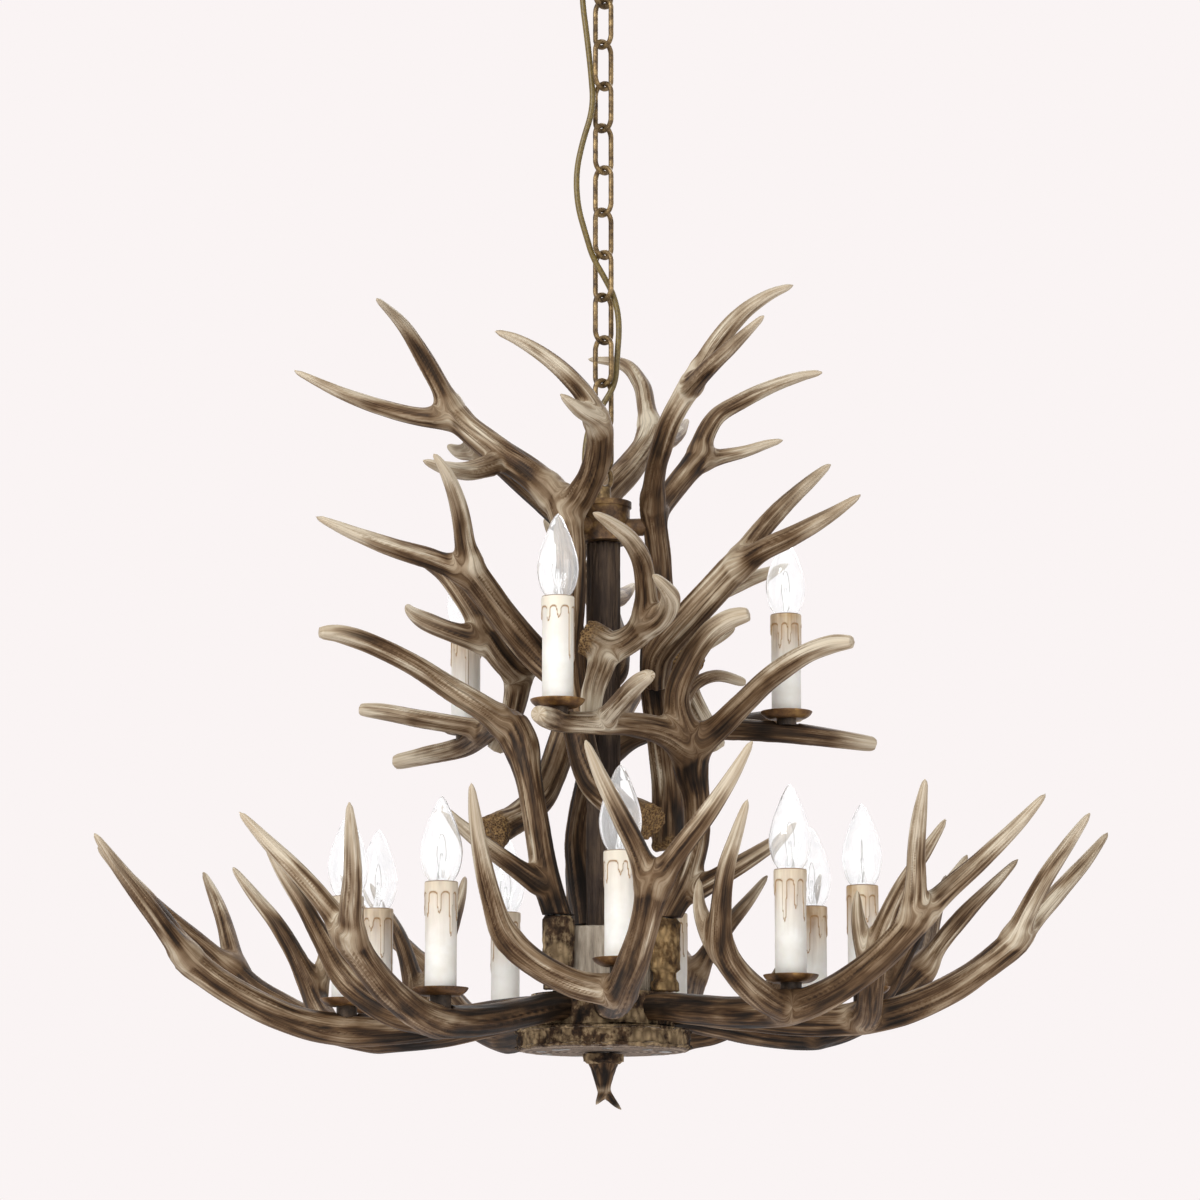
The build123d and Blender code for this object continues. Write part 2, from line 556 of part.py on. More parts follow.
canopy_inside = CANOPY_RADIUS - CANOPY_WALL
ear_out = math.sqrt(canopy_inside ** 2 - (BRACKET_WIDTH / 2) ** 2) - 1.0
with BuildPart() as ceiling_bracket:
    with Locations((0, 0, -BRACKET_THICKNESS / 2)):
        Box(BRACKET_WIDTH, 2 * ear_out, BRACKET_THICKNESS)
    for side in (-1, 1):
        with Locations((0, side * (ear_out - BRACKET_THICKNESS / 2), -EAR_HEIGHT / 2)):
            Box(BRACKET_WIDTH, BRACKET_THICKNESS, EAR_HEIGHT)
    with Locations((0, 0, -BRACKET_THICKNESS / 2)):
        Cylinder(HOOK_WIRE / 2 + FIT, BRACKET_THICKNESS, mode=Mode.SUBTRACT)
    with Locations((0, CEILING_SCREW_SPACING / 2, -BRACKET_THICKNESS / 2),
                   (0, -CEILING_SCREW_SPACING / 2, -BRACKET_THICKNESS / 2)):
        Cylinder(CEILING_SCREW_RADIUS, BRACKET_THICKNESS, mode=Mode.SUBTRACT)

SHOULDER = 16.0
canopy_low = -CANOPY_HEIGHT
corner = CANOPY_RADIUS - SHOULDER
with BuildPart() as ceiling_canopy:
    with BuildSketch(Plane.XZ):
        with BuildLine():
            Polyline((CANOPY_RADIUS, 0), (CANOPY_RADIUS, canopy_low + SHOULDER))
            CenterArc((corner, canopy_low + SHOULDER), SHOULDER, 0, -90)
            Polyline((corner, canopy_low), (CANOPY_MOUTH_RADIUS, canopy_low),
                     (CANOPY_MOUTH_RADIUS, canopy_low + CANOPY_WALL), (corner, canopy_low + CANOPY_WALL))
            CenterArc((corner, canopy_low + SHOULDER), SHOULDER - CANOPY_WALL, -90, 90)
            Polyline((canopy_inside, canopy_low + SHOULDER), (canopy_inside, 0), (CANOPY_RADIUS, 0))
        make_face()
    revolve(axis=Axis.Z)
ceiling_canopy = ceiling_canopy.part

CANOPY_SCREW_HEIGHT = -EAR_HEIGHT / 2 - 2
canopy_screws = []
bracket = ceiling_bracket.part
for side in (-1, 1):
    start = Vector(0, side * (ear_out - BRACKET_THICKNESS - 2), CANOPY_SCREW_HEIGHT)
    under_head = Vector(0, side * (CANOPY_RADIUS - 0.3), CANOPY_SCREW_HEIGHT)
    outside = Vector(0, side * (CANOPY_RADIUS + 2.4), CANOPY_SCREW_HEIGHT)
    shank_hole = bar_between(start, outside, CANOPY_SCREW_RADIUS + FIT)
    bracket = bracket - shank_hole
    ceiling_canopy = ceiling_canopy - shank_hole
    screw = bar_between(start, under_head, CANOPY_SCREW_RADIUS)
    head = cut_by(bar_between(under_head, outside, 2 * CANOPY_SCREW_RADIUS), [ceiling_canopy])
    canopy_screws.append(screw + head)

cable_points = [Vector(x, y, HUB_LEVEL + up) for x, y, up in CABLE_ROUTE]


def bend_radii(points):
    """Radius at each inner corner: it uses 0.45 of the shorter of the two runs beside it."""
    radii = []
    for before, here, after in zip(points, points[1:], points[2:]):
        inward, outward = here - before, after - here
        half_turn = math.radians(inward.get_angle(outward)) / 2
        radii.append(0.45 * min(inward.length, outward.length) / math.tan(half_turn))
    return radii


cable_bends = bend_radii(cable_points)
with BuildPart() as supply_cable:
    with BuildLine() as cable_line:
        FilletPolyline(*cable_points, radius=cable_bends)
    with BuildSketch(Plane(origin=cable_line.line @ 0, z_dir=cable_line.line % 0)):
        Circle(CABLE_RADIUS)
    sweep()
cable_length = sum(edge.length for edge in cable_line.edges())
cable_section = math.pi * CABLE_RADIUS ** 2
print("cable bend radii", [round(radius, 1) for radius in cable_bends])
print("cable runs", [round((b - a).length, 1) for a, b in zip(cable_points, cable_points[1:])])
print("cable length", round(cable_length, 1),
      "volume ratio", round(supply_cable.part.volume / (cable_length * cable_section), 4))

with BuildPart() as terminal_block:
    with Locations(cable_points[0]):
        Box(TERMINAL_LENGTH, TERMINAL_WIDTH, TERMINAL_HEIGHT, align=(Align.CENTER, Align.CENTER, Align.MIN))

# ---------------------------------------------------------------- candle lights
drip_plates, candle_sleeves, lampholders, candle_fixings, bulbs = [], [], [], [], []
plate_outline = [
    (CANDLE_NIPPLE_RADIUS + FIT, 0), (PAN_FOOT_RADIUS, 0), (PAN_FOOT_RADIUS + 5, PAN_DEPTH * 0.4),
    (PAN_RADIUS, PAN_DEPTH), (PAN_RADIUS, PAN_DEPTH + PAN_WALL),
    (PAN_FOOT_RADIUS + 4.6, PAN_DEPTH * 0.4 + PAN_WALL), (PAN_FOOT_RADIUS - 0.4, PAN_WALL),
    (CANDLE_NIPPLE_RADIUS + FIT, PAN_WALL),
]
for index, seat in enumerate(LIGHTS):
    nut_height = LOWER_NUT_HEIGHT if index < ARM_COUNT else UPPER_NUT_HEIGHT
    plate_base = seat + Vector(0, 0, nut_height)
    floor = plate_base + Vector(0, 0, PAN_WALL)
    sleeve_top = floor + Vector(0, 0, SLEEVE_HEIGHT)
    holder_base = sleeve_top - Vector(0, 0, HOLDER_BELOW_TOP + HOLDER_LENGTH)
    nipple_base = seat - Vector(0, 0, NIPPLE_IN_ANTLER)
    nipple_top = holder_base + Vector(0, 0, HOLDER_SEAT)

    candle_fixings.append(post(seat, PAN_NUT_RADIUS, nut_height, CANDLE_NIPPLE_RADIUS + FIT))
    candle_fixings.append(post(floor, TOP_NUT_RADIUS, TOP_NUT_HEIGHT, CANDLE_NIPPLE_RADIUS + FIT))
    candle_fixings.append(post(nipple_base, CANDLE_NIPPLE_RADIUS, (nipple_top - nipple_base).length,
                               NIPPLE_BORE))
    drip_plates.append(turned_piece(plate_outline, plate_base))
    candle_sleeves.append(post(floor, SLEEVE_RADIUS, SLEEVE_HEIGHT, SLEEVE_RADIUS - SLEEVE_WALL))
    holder_outline = [
        (CANDLE_NIPPLE_RADIUS + FIT, 0), (HOLDER_RADIUS, 0), (HOLDER_RADIUS, HOLDER_LENGTH),
        (SOCKET_RADIUS, HOLDER_LENGTH), (SOCKET_RADIUS, HOLDER_LENGTH - SOCKET_DEPTH),
        (0, HOLDER_LENGTH - SOCKET_DEPTH), (0, HOLDER_SEAT + FIT),
        (CANDLE_NIPPLE_RADIUS + FIT, HOLDER_SEAT + FIT),
    ]
    lampholders.append(turned_piece(holder_outline, holder_base))

    neck = HOLDER_BELOW_TOP - 1.0
    with BuildPart() as bulb:
        with BuildSketch(Plane(origin=sleeve_top, x_dir=(1, 0, 0), z_dir=(0, -1, 0))):
            with BuildLine():
                Polyline((BULB_NECK_RADIUS, -neck), (CAP_RADIUS, -neck), (CAP_RADIUS, -neck - CAP_LENGTH + 4),
                         (2.5, -neck - CAP_LENGTH), (0, -neck - CAP_LENGTH), (0, BULB_HEIGHT))
                Spline((0, BULB_HEIGHT), (BULB_RADIUS * 0.2, BULB_HEIGHT * 0.95),
                       (BULB_RADIUS * 0.52, BULB_HEIGHT * 0.78), (BULB_RADIUS * 0.86, BULB_HEIGHT * 0.55),
                       (BULB_RADIUS, BULB_HEIGHT * 0.34), (BULB_RADIUS * 0.84, BULB_HEIGHT * 0.12),
                       (BULB_NECK_RADIUS, -neck))
            make_face()
        revolve(axis=Axis(sleeve_top, (0, 0, 1)))
    bulbs.append(bulb.part)


# ---------------------------------------------------------------- antlers cut to fit one another
below_posts = post(Vector(0, 0, HUB_LEVEL), 2 * POST_OUT, POST_TOP - HUB_LEVEL)
boss_level = HUB_LEVEL + BOSS_HEIGHT
boss_targets = [beam_point(placed(TOP_BEAM, TOP_FIT[0], TOP_RISE), boss_level),
                beam_point(placed(SLENDER_BEAM, TOP_FIT[0], TOP_RISE), boss_level),
                beam_point(placed(TOP_BEAM, TOP_FIT[1], TOP_RISE), boss_level)]


def seat_cuts(seat):
    """A flat for the nut, and the hole below it for the nipple."""
    return [post(seat, PAN_NUT_RADIUS + 1.0, 30),
            post(seat - Vector(0, 0, NIPPLE_IN_ANTLER + FIT), CANDLE_NIPPLE_RADIUS + FIT, 30)]


for number in range(ARM_COUNT):
    holes = seat_cuts(LOWER_LIGHTS[number]) + [screw_holes[number]] + rod_holes
    lower_antlers[number] = cut_by(lower_antlers[number], holes)
antler_bosses = []
for index in range(3):
    middle_antlers[index] = cut_by(middle_antlers[index], [top_antlers[index]])
    inner_antlers[index] = cut_by(inner_antlers[index], [upright_antlers[index]])
    holes = seat_cuts(UPPER_LIGHTS[index]) + [rod_holes[index], below_posts]
    upright_antlers[index] = cut_by(upright_antlers[index], holes)
    target = boss_targets[index]
    inner_end = Vector(target.X, target.Y, 0).normalized() * (COLLAR_RADIUS - COLLAR_WALL)
    boss = bar_between(Vector(inner_end.X, inner_end.Y, boss_level), target, BOSS_RADIUS)
    antler_bosses.append(cut_by(boss, [collar, top_antlers[index], post(
        Vector(0, 0, COLLAR_FLOOR), COLLAR_RADIUS - COLLAR_WALL / 2, COLLAR_TOP - COLLAR_BOTTOM)]))

# ---------------------------------------------------------------- files
for index, part in enumerate(lower_antlers):
    save(part, f"lower_antler_{index + 1}")
for index in range(3):
    save(upright_antlers[index], f"upright_antler_{index + 1}")
    save(middle_antlers[index], f"middle_antler_{index + 1}")
    save(inner_antlers[index], f"inner_antler_{index + 1}")
    save(top_antlers[index], f"top_antler_{index + 1}")
for index, part in enumerate(bulbs):
    save(part, f"bulb_{index + 1:02d}")
save(bracket, "ceiling_bracket")
save(ceiling_canopy, "ceiling_canopy")
save(group(canopy_screws), "canopy_screws")
save(ceiling_hook.part, "ceiling_hook")
save(hook_nut.part, "hook_nut")
save(chain_top_link, "chain_top_link")
save(chain_links, "chain_links")
save(supply_cable.part, "supply_cable")
save(terminal_block.part, "terminal_block")
save(cable_bush, "cable_bush")
save(hanging_loop, "hanging_loop")
save(collar, "collar")
save(collar_lid, "collar_lid")
save(stem_tube, "stem_tube")
save(column.part, "column")
save(group(antler_bosses), "antler_bosses")
save(hub_disc, "hub_disc")
save(hub_block, "hub_block")
save(hub_drum, "hub_drum")
save(group(upright_posts), "upright_posts")
save(finial, "finial")
save(group(drip_plates), "drip_plates")
save(group(candle_sleeves), "candle_sleeves")
save(group(lampholders), "lampholders")
save(group(candle_fixings), "candle_fixings")
save(group(frame_screws), "frame_screws")
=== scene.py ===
"""Antler chandelier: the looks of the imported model, in metres, in the model's own frame."""
import json
import math

import bpy
import numpy as np
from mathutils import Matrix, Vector

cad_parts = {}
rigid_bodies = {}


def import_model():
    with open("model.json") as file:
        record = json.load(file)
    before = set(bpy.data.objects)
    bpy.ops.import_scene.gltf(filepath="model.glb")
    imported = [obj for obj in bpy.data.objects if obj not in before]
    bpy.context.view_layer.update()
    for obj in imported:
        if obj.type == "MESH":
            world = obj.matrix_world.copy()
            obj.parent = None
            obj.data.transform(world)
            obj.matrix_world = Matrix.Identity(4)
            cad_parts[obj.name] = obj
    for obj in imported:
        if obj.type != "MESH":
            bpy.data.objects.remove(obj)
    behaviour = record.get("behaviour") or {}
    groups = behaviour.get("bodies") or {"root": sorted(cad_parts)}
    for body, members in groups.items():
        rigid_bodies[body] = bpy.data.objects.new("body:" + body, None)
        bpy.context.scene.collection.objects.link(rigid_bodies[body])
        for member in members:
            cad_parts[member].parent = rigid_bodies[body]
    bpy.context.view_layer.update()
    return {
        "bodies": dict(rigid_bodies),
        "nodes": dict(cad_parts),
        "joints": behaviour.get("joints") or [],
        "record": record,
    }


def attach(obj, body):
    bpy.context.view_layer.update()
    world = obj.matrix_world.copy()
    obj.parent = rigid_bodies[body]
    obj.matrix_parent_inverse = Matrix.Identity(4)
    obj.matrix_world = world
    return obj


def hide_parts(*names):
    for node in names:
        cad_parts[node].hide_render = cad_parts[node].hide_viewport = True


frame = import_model()
MM = 0.001
HUB = -1.010    # height of the hub block's underside

# ---------------------------------------------------------------- camera
EYE = (-0.003, -3.6, HUB - 0.2466)
CAMERA_TILT = 9.95
FOCAL_PIXELS = 4061.0
IMAGE_SIZE = 1200.0
SENSOR_WIDTH = 36.0

camera_data = bpy.data.cameras.new("camera")
camera = bpy.data.objects.new("camera", camera_data)
bpy.context.scene.collection.objects.link(camera)
camera.location = EYE
camera.rotation_euler = (math.radians(90 + CAMERA_TILT), 0, 0)
camera_data.sensor_width = SENSOR_WIDTH
camera_data.lens = SENSOR_WIDTH * FOCAL_PIXELS / IMAGE_SIZE
camera_data.clip_end = 60.0
bpy.context.scene.camera = camera


# ---------------------------------------------------------------- node trees
def linear(hex_colour):
    """An sRGB colour such as "a08c70" as the linear RGBA that Blender's shaders take."""
    parts = [int(hex_colour[i:i + 2], 16) / 255 for i in (0, 2, 4)]
    return [p / 12.92 if p <= 0.04045 else ((p + 0.055) / 1.055) ** 2.4 for p in parts] + [1.0]


def per_metre(size_in_mm):
    """How many features of this size lie in a metre, which is what a texture's Scale asks for."""
    return 1000.0 / size_in_mm


def feed(node, inputs):
    """Gives each named or numbered socket a value, or links it to another node's output."""
    for key, value in inputs.items():
        if isinstance(value, bpy.types.NodeSocket):
            node.id_data.links.new(value, node.inputs[key])
        else:
            node.inputs[key].default_value = value


def add(tree, kind, inputs=(), output=0, stops=(), **settings):
    """Adds one node with its settings and links, and gives back one of its outputs.

    inputs are a dictionary by socket, or values in the sockets' order; stops are a colour ramp's
    (position, hex colour) pairs.
    """
    node = tree.nodes.new("ShaderNode" + kind)
    for name, value in settings.items():
        setattr(node, name, value)
    feed(node, inputs if isinstance(inputs, dict) else dict(enumerate(inputs)))
    for k, (position, colour) in enumerate(stops):
        elements = node.color_ramp.elements
        element = elements[k] if k < len(elements) else elements.new(position)
        element.position = position
        element.color = linear(colour)
    return node.outputs[output]


def new_material(name, **sockets):
    """A material and its shader, whose uniform values are given by socket name, with _ for a space."""
    material = bpy.data.materials.new(name)
    material.use_nodes = True
    shader = material.node_tree.nodes["Principled BSDF"]
    feed(shader, {socket.replace("_", " "): value for socket, value in sockets.items()})
    return material, shader


# ---------------------------------------------------------------- materials
GRAIN_RADIUS = 0.011    # the antlers' grain is drawn as if every branch were this thick


def antler_material(name, shade):
    """Antler cast in resin from real ones and stained: the stain stays in the furrows and is rubbed off
    the ridges and the tips, so the eye sees long brown streaks on a satin bone colour. Near the column's
    axis and round the hub the colour is darkened as painted shade. Cut roots show brown spongy cells.

    The mesh carries grain (across, across, along, in metres), groove (0 low to 1 high), pale
    (1 at a tip), burr (1 on a cut root) and fork (1 between branches). shade darkens the whole colour;
    on the copy for the antlers behind the column it is painted shade.
    """
    material, shader = new_material(name, Roughness=0.6, Specular_IOR_Level=0.16)
    tree = material.node_tree
    groove, pale, burr, fork = (add(tree, "Attribute", output="Fac", attribute_name=quantity)
                                for quantity in ("groove", "pale", "burr", "fork"))
    # between vertices the two across values leave their circle, so they are set back on it
    grain = add(tree, "Attribute", output="Vector", attribute_name="grain")
    along = add(tree, "VectorMath", (grain, (0, 0, 1)), operation="MULTIPLY")
    across = add(tree, "VectorMath", (grain, (1, 1, 0)), operation="MULTIPLY")
    across = add(tree, "VectorMath", (across,), operation="NORMALIZE")
    grain = add(tree, "VectorMath", (across, (GRAIN_RADIUS, GRAIN_RADIUS, 0), along), operation="MULTIPLY_ADD")

    # streaks 4 mm wide and 130 mm long, fibres 1.6 mm wide, drawn coarser than the real 0.5 mm to show,
    # stains of 13 by 130 mm, and thin dark threads where a second noise passes its middle
    stretched = add(tree, "Mapping", {"Vector": grain, "Scale": (1, 1, 0.03)})
    streaks = add(tree, "TexNoise", {"Vector": stretched, "Scale": per_metre(4.0),
                                     "Detail": 6.0, "Roughness": 0.62})
    fibres = add(tree, "TexNoise", {"Vector": stretched, "Scale": per_metre(1.5625),
                                    "Detail": 4.0, "Roughness": 0.6})
    blotches = add(tree, "Mapping", {"Vector": grain, "Scale": (1, 1, 0.1)})
    stains = add(tree, "TexNoise", {"Vector": blotches, "Scale": per_metre(13.333),
                                    "Detail": 5.0, "Roughness": 0.6})
    elsewhere = add(tree, "Mapping", {"Vector": stretched, "Location": (3, 5, 1)})
    thread = add(tree, "TexNoise", {"Vector": elsewhere, "Scale": per_metre(5.26316),
                                    "Detail": 4.0, "Roughness": 0.55})
    thread = add(tree, "Math", (thread, 0.5), operation="SUBTRACT")
    thread = add(tree, "Math", (thread,), operation="ABSOLUTE")
    thread = add(tree, "ValToRGB", (thread,), stops=[(0.0, "4f3b29"), (0.014, "a58d74"), (0.04, "ffffff")])

    # patches 67 mm across; painted shade near the column's axis and round the hub, measured 2.2 times taller
    point = add(tree, "TexCoord", output="Object")
    patches = add(tree, "TexNoise", {"Vector": point, "Scale": per_metre(66.667),
                                     "Detail": 3.0, "Roughness": 0.55})
    level = add(tree, "VectorMath", (point, (1, 1, 0)), operation="MULTIPLY")
    from_axis = add(tree, "VectorMath", (level,), "Value", operation="LENGTH")
    inner = add(tree, "MapRange", (from_axis, 0.04, 0.14, 1.0, 0.0))
    from_hub = add(tree, "Mapping", {"Vector": point, "Location": (0, 0, -2.2 * HUB), "Scale": (1, 1, 2.2)})
    from_hub = add(tree, "VectorMath", (from_hub,), "Value", operation="LENGTH")
    hub_shade = add(tree, "MapRange", (from_hub, 0.1, 0.4, 1.0, 0.0))

    tone = -0.65 - shade
    for quantity, weight in ((groove, 0.3), (streaks, 0.62), (stains, 0.8), (patches, 0.75), (inner, -0.1),
                             (hub_shade, -0.22), (pale, 0.3)):
        tone = add(tree, "Math", (quantity, weight, tone), operation="MULTIPLY_ADD")
    colour = add(tree, "ValToRGB", (tone,), stops=[(0.22, "1b130c"), (0.37, "3b2c1e"), (0.5, "604932"),
                                                   (0.62, "856f56"), (0.74, "ab9980"), (0.88, "d8ccb6")])
    worn = add(tree, "Math", (stains, 0.4), operation="MULTIPLY")
    worn = add(tree, "Math", (streaks, 0.6, worn), operation="MULTIPLY_ADD")
    worn = add(tree, "ValToRGB", (worn,), stops=[(0.3, "8a765d"), (0.45, "b8a68c"), (0.58, "d0c4af"),
                                                 (0.72, "e4dccd")])
    bare = add(tree, "Math", (pale, 1.7), operation="POWER", use_clamp=True)
    colour = add(tree, "Mix", {0: bare, 6: colour, 7: worn}, 2, data_type="RGBA")
    speck = add(tree, "ValToRGB", (fibres,), stops=[(0.32, "7d6f62"), (0.5, "ffffff")])
    specked = add(tree, "Math", (pale, -0.42, 0.5), operation="MULTIPLY_ADD")
    colour = add(tree, "Mix", {0: specked, 6: colour, 7: speck}, 2, data_type="RGBA", blend_type="MULTIPLY")
    lined = add(tree, "Math", (pale, fork), operation="MAXIMUM")
    lined = add(tree, "Math", (lined, -0.6, 0.68), operation="MULTIPLY_ADD")
    colour = add(tree, "Mix", {0: lined, 6: colour, 7: thread}, 2, data_type="RGBA", blend_type="MULTIPLY")
    cells = add(tree, "TexVoronoi", {"Vector": point, "Scale": per_metre(1.9231)}, "Distance")
    core = add(tree, "ValToRGB", (cells,), stops=[(0.1, "2b2015"), (0.45, "6b5135"), (0.8, "977a50")])
    colour = add(tree, "Mix", {0: burr, 6: colour, 7: core}, 2, data_type="RGBA")

    roughness = add(tree, "Math", (streaks, -0.3, 0.7), operation="MULTIPLY_ADD")
    polish = add(tree, "Math", (pale, -0.75, 1.0), operation="MULTIPLY_ADD")
    height = add(tree, "Math", (fibres, 0.4, streaks), operation="MULTIPLY_ADD")
    height = add(tree, "Math", (height, polish), operation="MULTIPLY")
    pits = add(tree, "Math", (cells, burr), operation="MULTIPLY")
    height = add(tree, "Math", (pits, -1.5, height), operation="MULTIPLY_ADD")
    relief = add(tree, "Bump", {"Height": height, "Strength": 0.6, "Distance": 0.0012})
    feed(shader, {"Base Color": colour, "Roughness": roughness, "Normal": relief})
    return material


def wood_material(name, dark, mid, light, grain_mm, ring_mm=0.0):
    """Weathered, stained wood: upright grain eight times as long as it is wide, in dull patches of
    33 mm, and growth rings ring_mm apart on a sawn face. The eye sees dry, matt, ridged wood."""
    material, shader = new_material(name, Roughness=0.8)
    tree = material.node_tree
    point = add(tree, "TexCoord", output="Object")
    upright = add(tree, "Mapping", {"Vector": point, "Scale": (1, 1, 0.12)})
    grain = add(tree, "TexNoise", {"Vector": upright, "Scale": per_metre(grain_mm),
                                   "Detail": 7.0, "Roughness": 0.65})
    blotch = add(tree, "TexNoise", {"Vector": point, "Scale": per_metre(33.333),
                                    "Detail": 4.0, "Roughness": 0.55})
    tone = add(tree, "Math", (blotch, 0.3), operation="MULTIPLY")
    tone = add(tree, "Math", (grain, 0.75, tone), operation="MULTIPLY_ADD")
    if ring_mm:
        # a ring wave repeats each 2 pi / 20 of its coordinates
        level = add(tree, "Mapping", {"Vector": point, "Scale": (1, 1, 0)})
        rings = add(tree, "TexWave", {"Vector": level, "Scale": 2 * math.pi / 20 * per_metre(ring_mm),
                                      "Distortion": 3.0, "Detail": 3.0, "Detail Scale": 12.0},
                    "Fac", wave_type="RINGS", rings_direction="Z")
        tone = add(tree, "Math", (tone, 0.7), operation="MULTIPLY")
        tone = add(tree, "Math", (rings, 0.28, tone), operation="MULTIPLY_ADD")
        grain = add(tree, "Math", (grain, rings), operation="ADD")
    colour = add(tree, "ValToRGB", (tone,), stops=[(0.32, dark), (0.5, mid), (0.68, light)])
    relief = add(tree, "Bump", {"Height": grain, "Strength": 0.8, "Distance": 0.002})
    feed(shader, {"Base Color": colour, "Normal": relief})
    return material


def bark_material(name, dark, mid, light):
    """Corky bark, cast and painted matt: cracks round cells of 5 mm, crumbs of 8 mm and pale patches
    of lichen 25 mm across, so the eye sees a dry crust with light on its ridges."""
    material, shader = new_material(name, Roughness=0.9, Specular_IOR_Level=0.25)
    tree = material.node_tree
    point = add(tree, "TexCoord", output="Object")
    tall = add(tree, "Mapping", {"Vector": point, "Scale": (1, 1, 0.55)})
    cells = add(tree, "TexVoronoi", {"Vector": tall, "Scale": per_metre(5.2632)}, "Distance")
    crumbs = add(tree, "TexNoise", {"Vector": tall, "Scale": per_metre(8.3333),
                                    "Detail": 8.0, "Roughness": 0.7})
    lichen = add(tree, "TexNoise", {"Vector": point, "Scale": per_metre(25.0),
                                    "Detail": 4.0, "Roughness": 0.6})
    tone = add(tree, "Math", (lichen, 0.9), operation="MULTIPLY")
    tone = add(tree, "Math", (crumbs, 0.5, tone), operation="MULTIPLY_ADD")
    colour = add(tree, "ValToRGB", (tone,), stops=[(0.56, dark), (0.66, mid), (0.74, light)])
    crack = add(tree, "ValToRGB", (cells,), stops=[(0.05, "ffffff"), (0.75, "5a4c40")])
    colour = add(tree, "Mix", {0: 0.75, 6: colour, 7: crack}, 2, data_type="RGBA", blend_type="MULTIPLY")
    height = add(tree, "Math", (crumbs, cells), operation="SUBTRACT")
    relief = add(tree, "Bump", {"Height": height, "Strength": 0.9, "Distance": 0.003})
    feed(shader, {"Base Color": colour, "Normal": relief})
    return material


def metal_material(name, dark, mid, light, metallic, rough, patch_mm=11.111):
    """Metal with a patina, dipped and rubbed back: dull dark patches patch_mm across over a brighter
    ground, with pits a ninth of their size, so the gloss is broken."""
    material, shader = new_material(name, Metallic=metallic, Roughness=rough)
    tree = material.node_tree
    point = add(tree, "TexCoord", output="Object")
    patches = add(tree, "TexNoise", {"Vector": point, "Scale": per_metre(patch_mm),
                                     "Detail": 6.0, "Roughness": 0.65})
    pits = add(tree, "TexNoise", {"Vector": point, "Scale": per_metre(patch_mm / 9),
                                  "Detail": 3.0, "Roughness": 0.55})
    colour = add(tree, "ValToRGB", (patches,), stops=[(0.34, dark), (0.5, mid), (0.66, light)])
    worn = add(tree, "Math", (patches, -0.5, rough + 0.25), operation="MULTIPLY_ADD", use_clamp=True)
    height = add(tree, "Math", (patches, pits), operation="ADD")
    relief = add(tree, "Bump", {"Height": height, "Strength": 0.35, "Distance": 0.0008})
    feed(shader, {"Base Color": colour, "Roughness": worn, "Normal": relief})
    return material


STAIN_DEPTH = 0.062    # how far down a candle its stain reaches


def candle_material(name):
    """Cream wax cast over a sleeve and brushed with a caramel stain from the top: the stain runs down
    in 6 mm streaks, gathers round the drips and leaves them paler, with a soft glow under the skin.

    The mesh carries drop (metres below the top), wax (1 on the band and its drips) and stain (how
    much of it this candle has).
    """
    material, shader = new_material(name, Roughness=0.5, Subsurface_Weight=0.08,
                                    Subsurface_Radius=(0.004, 0.002, 0.001))
    tree = material.node_tree
    drop, wax, stain = (add(tree, "Attribute", output="Fac", attribute_name=quantity)
                        for quantity in ("drop", "wax", "stain"))
    point = add(tree, "TexCoord", output="Object")
    upright = add(tree, "Mapping", {"Vector": point, "Scale": (1, 1, 0.1)})
    runs = add(tree, "TexNoise", {"Vector": upright, "Scale": per_metre(6.25),
                                  "Detail": 4.0, "Roughness": 0.55})
    patches = add(tree, "TexNoise", {"Vector": point, "Scale": per_metre(16.667),
                                     "Detail": 3.0, "Roughness": 0.55})

    fade = add(tree, "Math", (runs, -0.5, 1.15), operation="MULTIPLY_ADD")
    fade = add(tree, "Math", (drop, -1 / STAIN_DEPTH, fade), operation="MULTIPLY_ADD", use_clamp=True)
    amount = add(tree, "Math", (fade, stain), operation="MULTIPLY")
    blotch = add(tree, "Math", (patches, 0.45), operation="ADD")
    amount = add(tree, "Math", (amount, blotch), operation="MULTIPLY", use_clamp=True)
    body = add(tree, "ValToRGB", (patches,), stops=[(0.3, "eae7de"), (0.7, "f6f5f0")])
    caramel = add(tree, "ValToRGB", (runs,), stops=[(0.3, "8d6636"), (0.52, "b99562"), (0.72, "d8c297")])
    colour = add(tree, "Mix", {0: amount, 6: body, 7: caramel}, 2, data_type="RGBA")
    cream = add(tree, "Math", (stain, -0.55, 0.7), operation="MULTIPLY_ADD")
    cream = add(tree, "Math", (cream, wax), operation="MULTIPLY")
    colour = add(tree, "Mix", {0: cream, 6: colour, 7: linear("e9e1cb")}, 2, data_type="RGBA")
    edge = add(tree, "Math", (wax, -1.0, 1.0), operation="MULTIPLY_ADD")
    edge = add(tree, "Math", (edge, wax), operation="MULTIPLY")
    edge = add(tree, "Math", (edge, 3.8), operation="MULTIPLY", use_clamp=True)
    colour = add(tree, "Mix", {0: edge, 6: colour, 7: linear("966f3c")}, 2, data_type="RGBA")
    rim = add(tree, "Math", (drop, 0.0009), operation="LESS_THAN")
    rim = add(tree, "Math", (rim, 0.7), operation="MULTIPLY")
    colour = add(tree, "Mix", {0: rim, 6: colour, 7: linear("6b4a28")}, 2, data_type="RGBA")
    relief = add(tree, "Bump", {"Height": patches, "Strength": 0.15, "Distance": 0.0008})
    feed(shader, {"Base Color": colour, "Normal": relief})
    return material


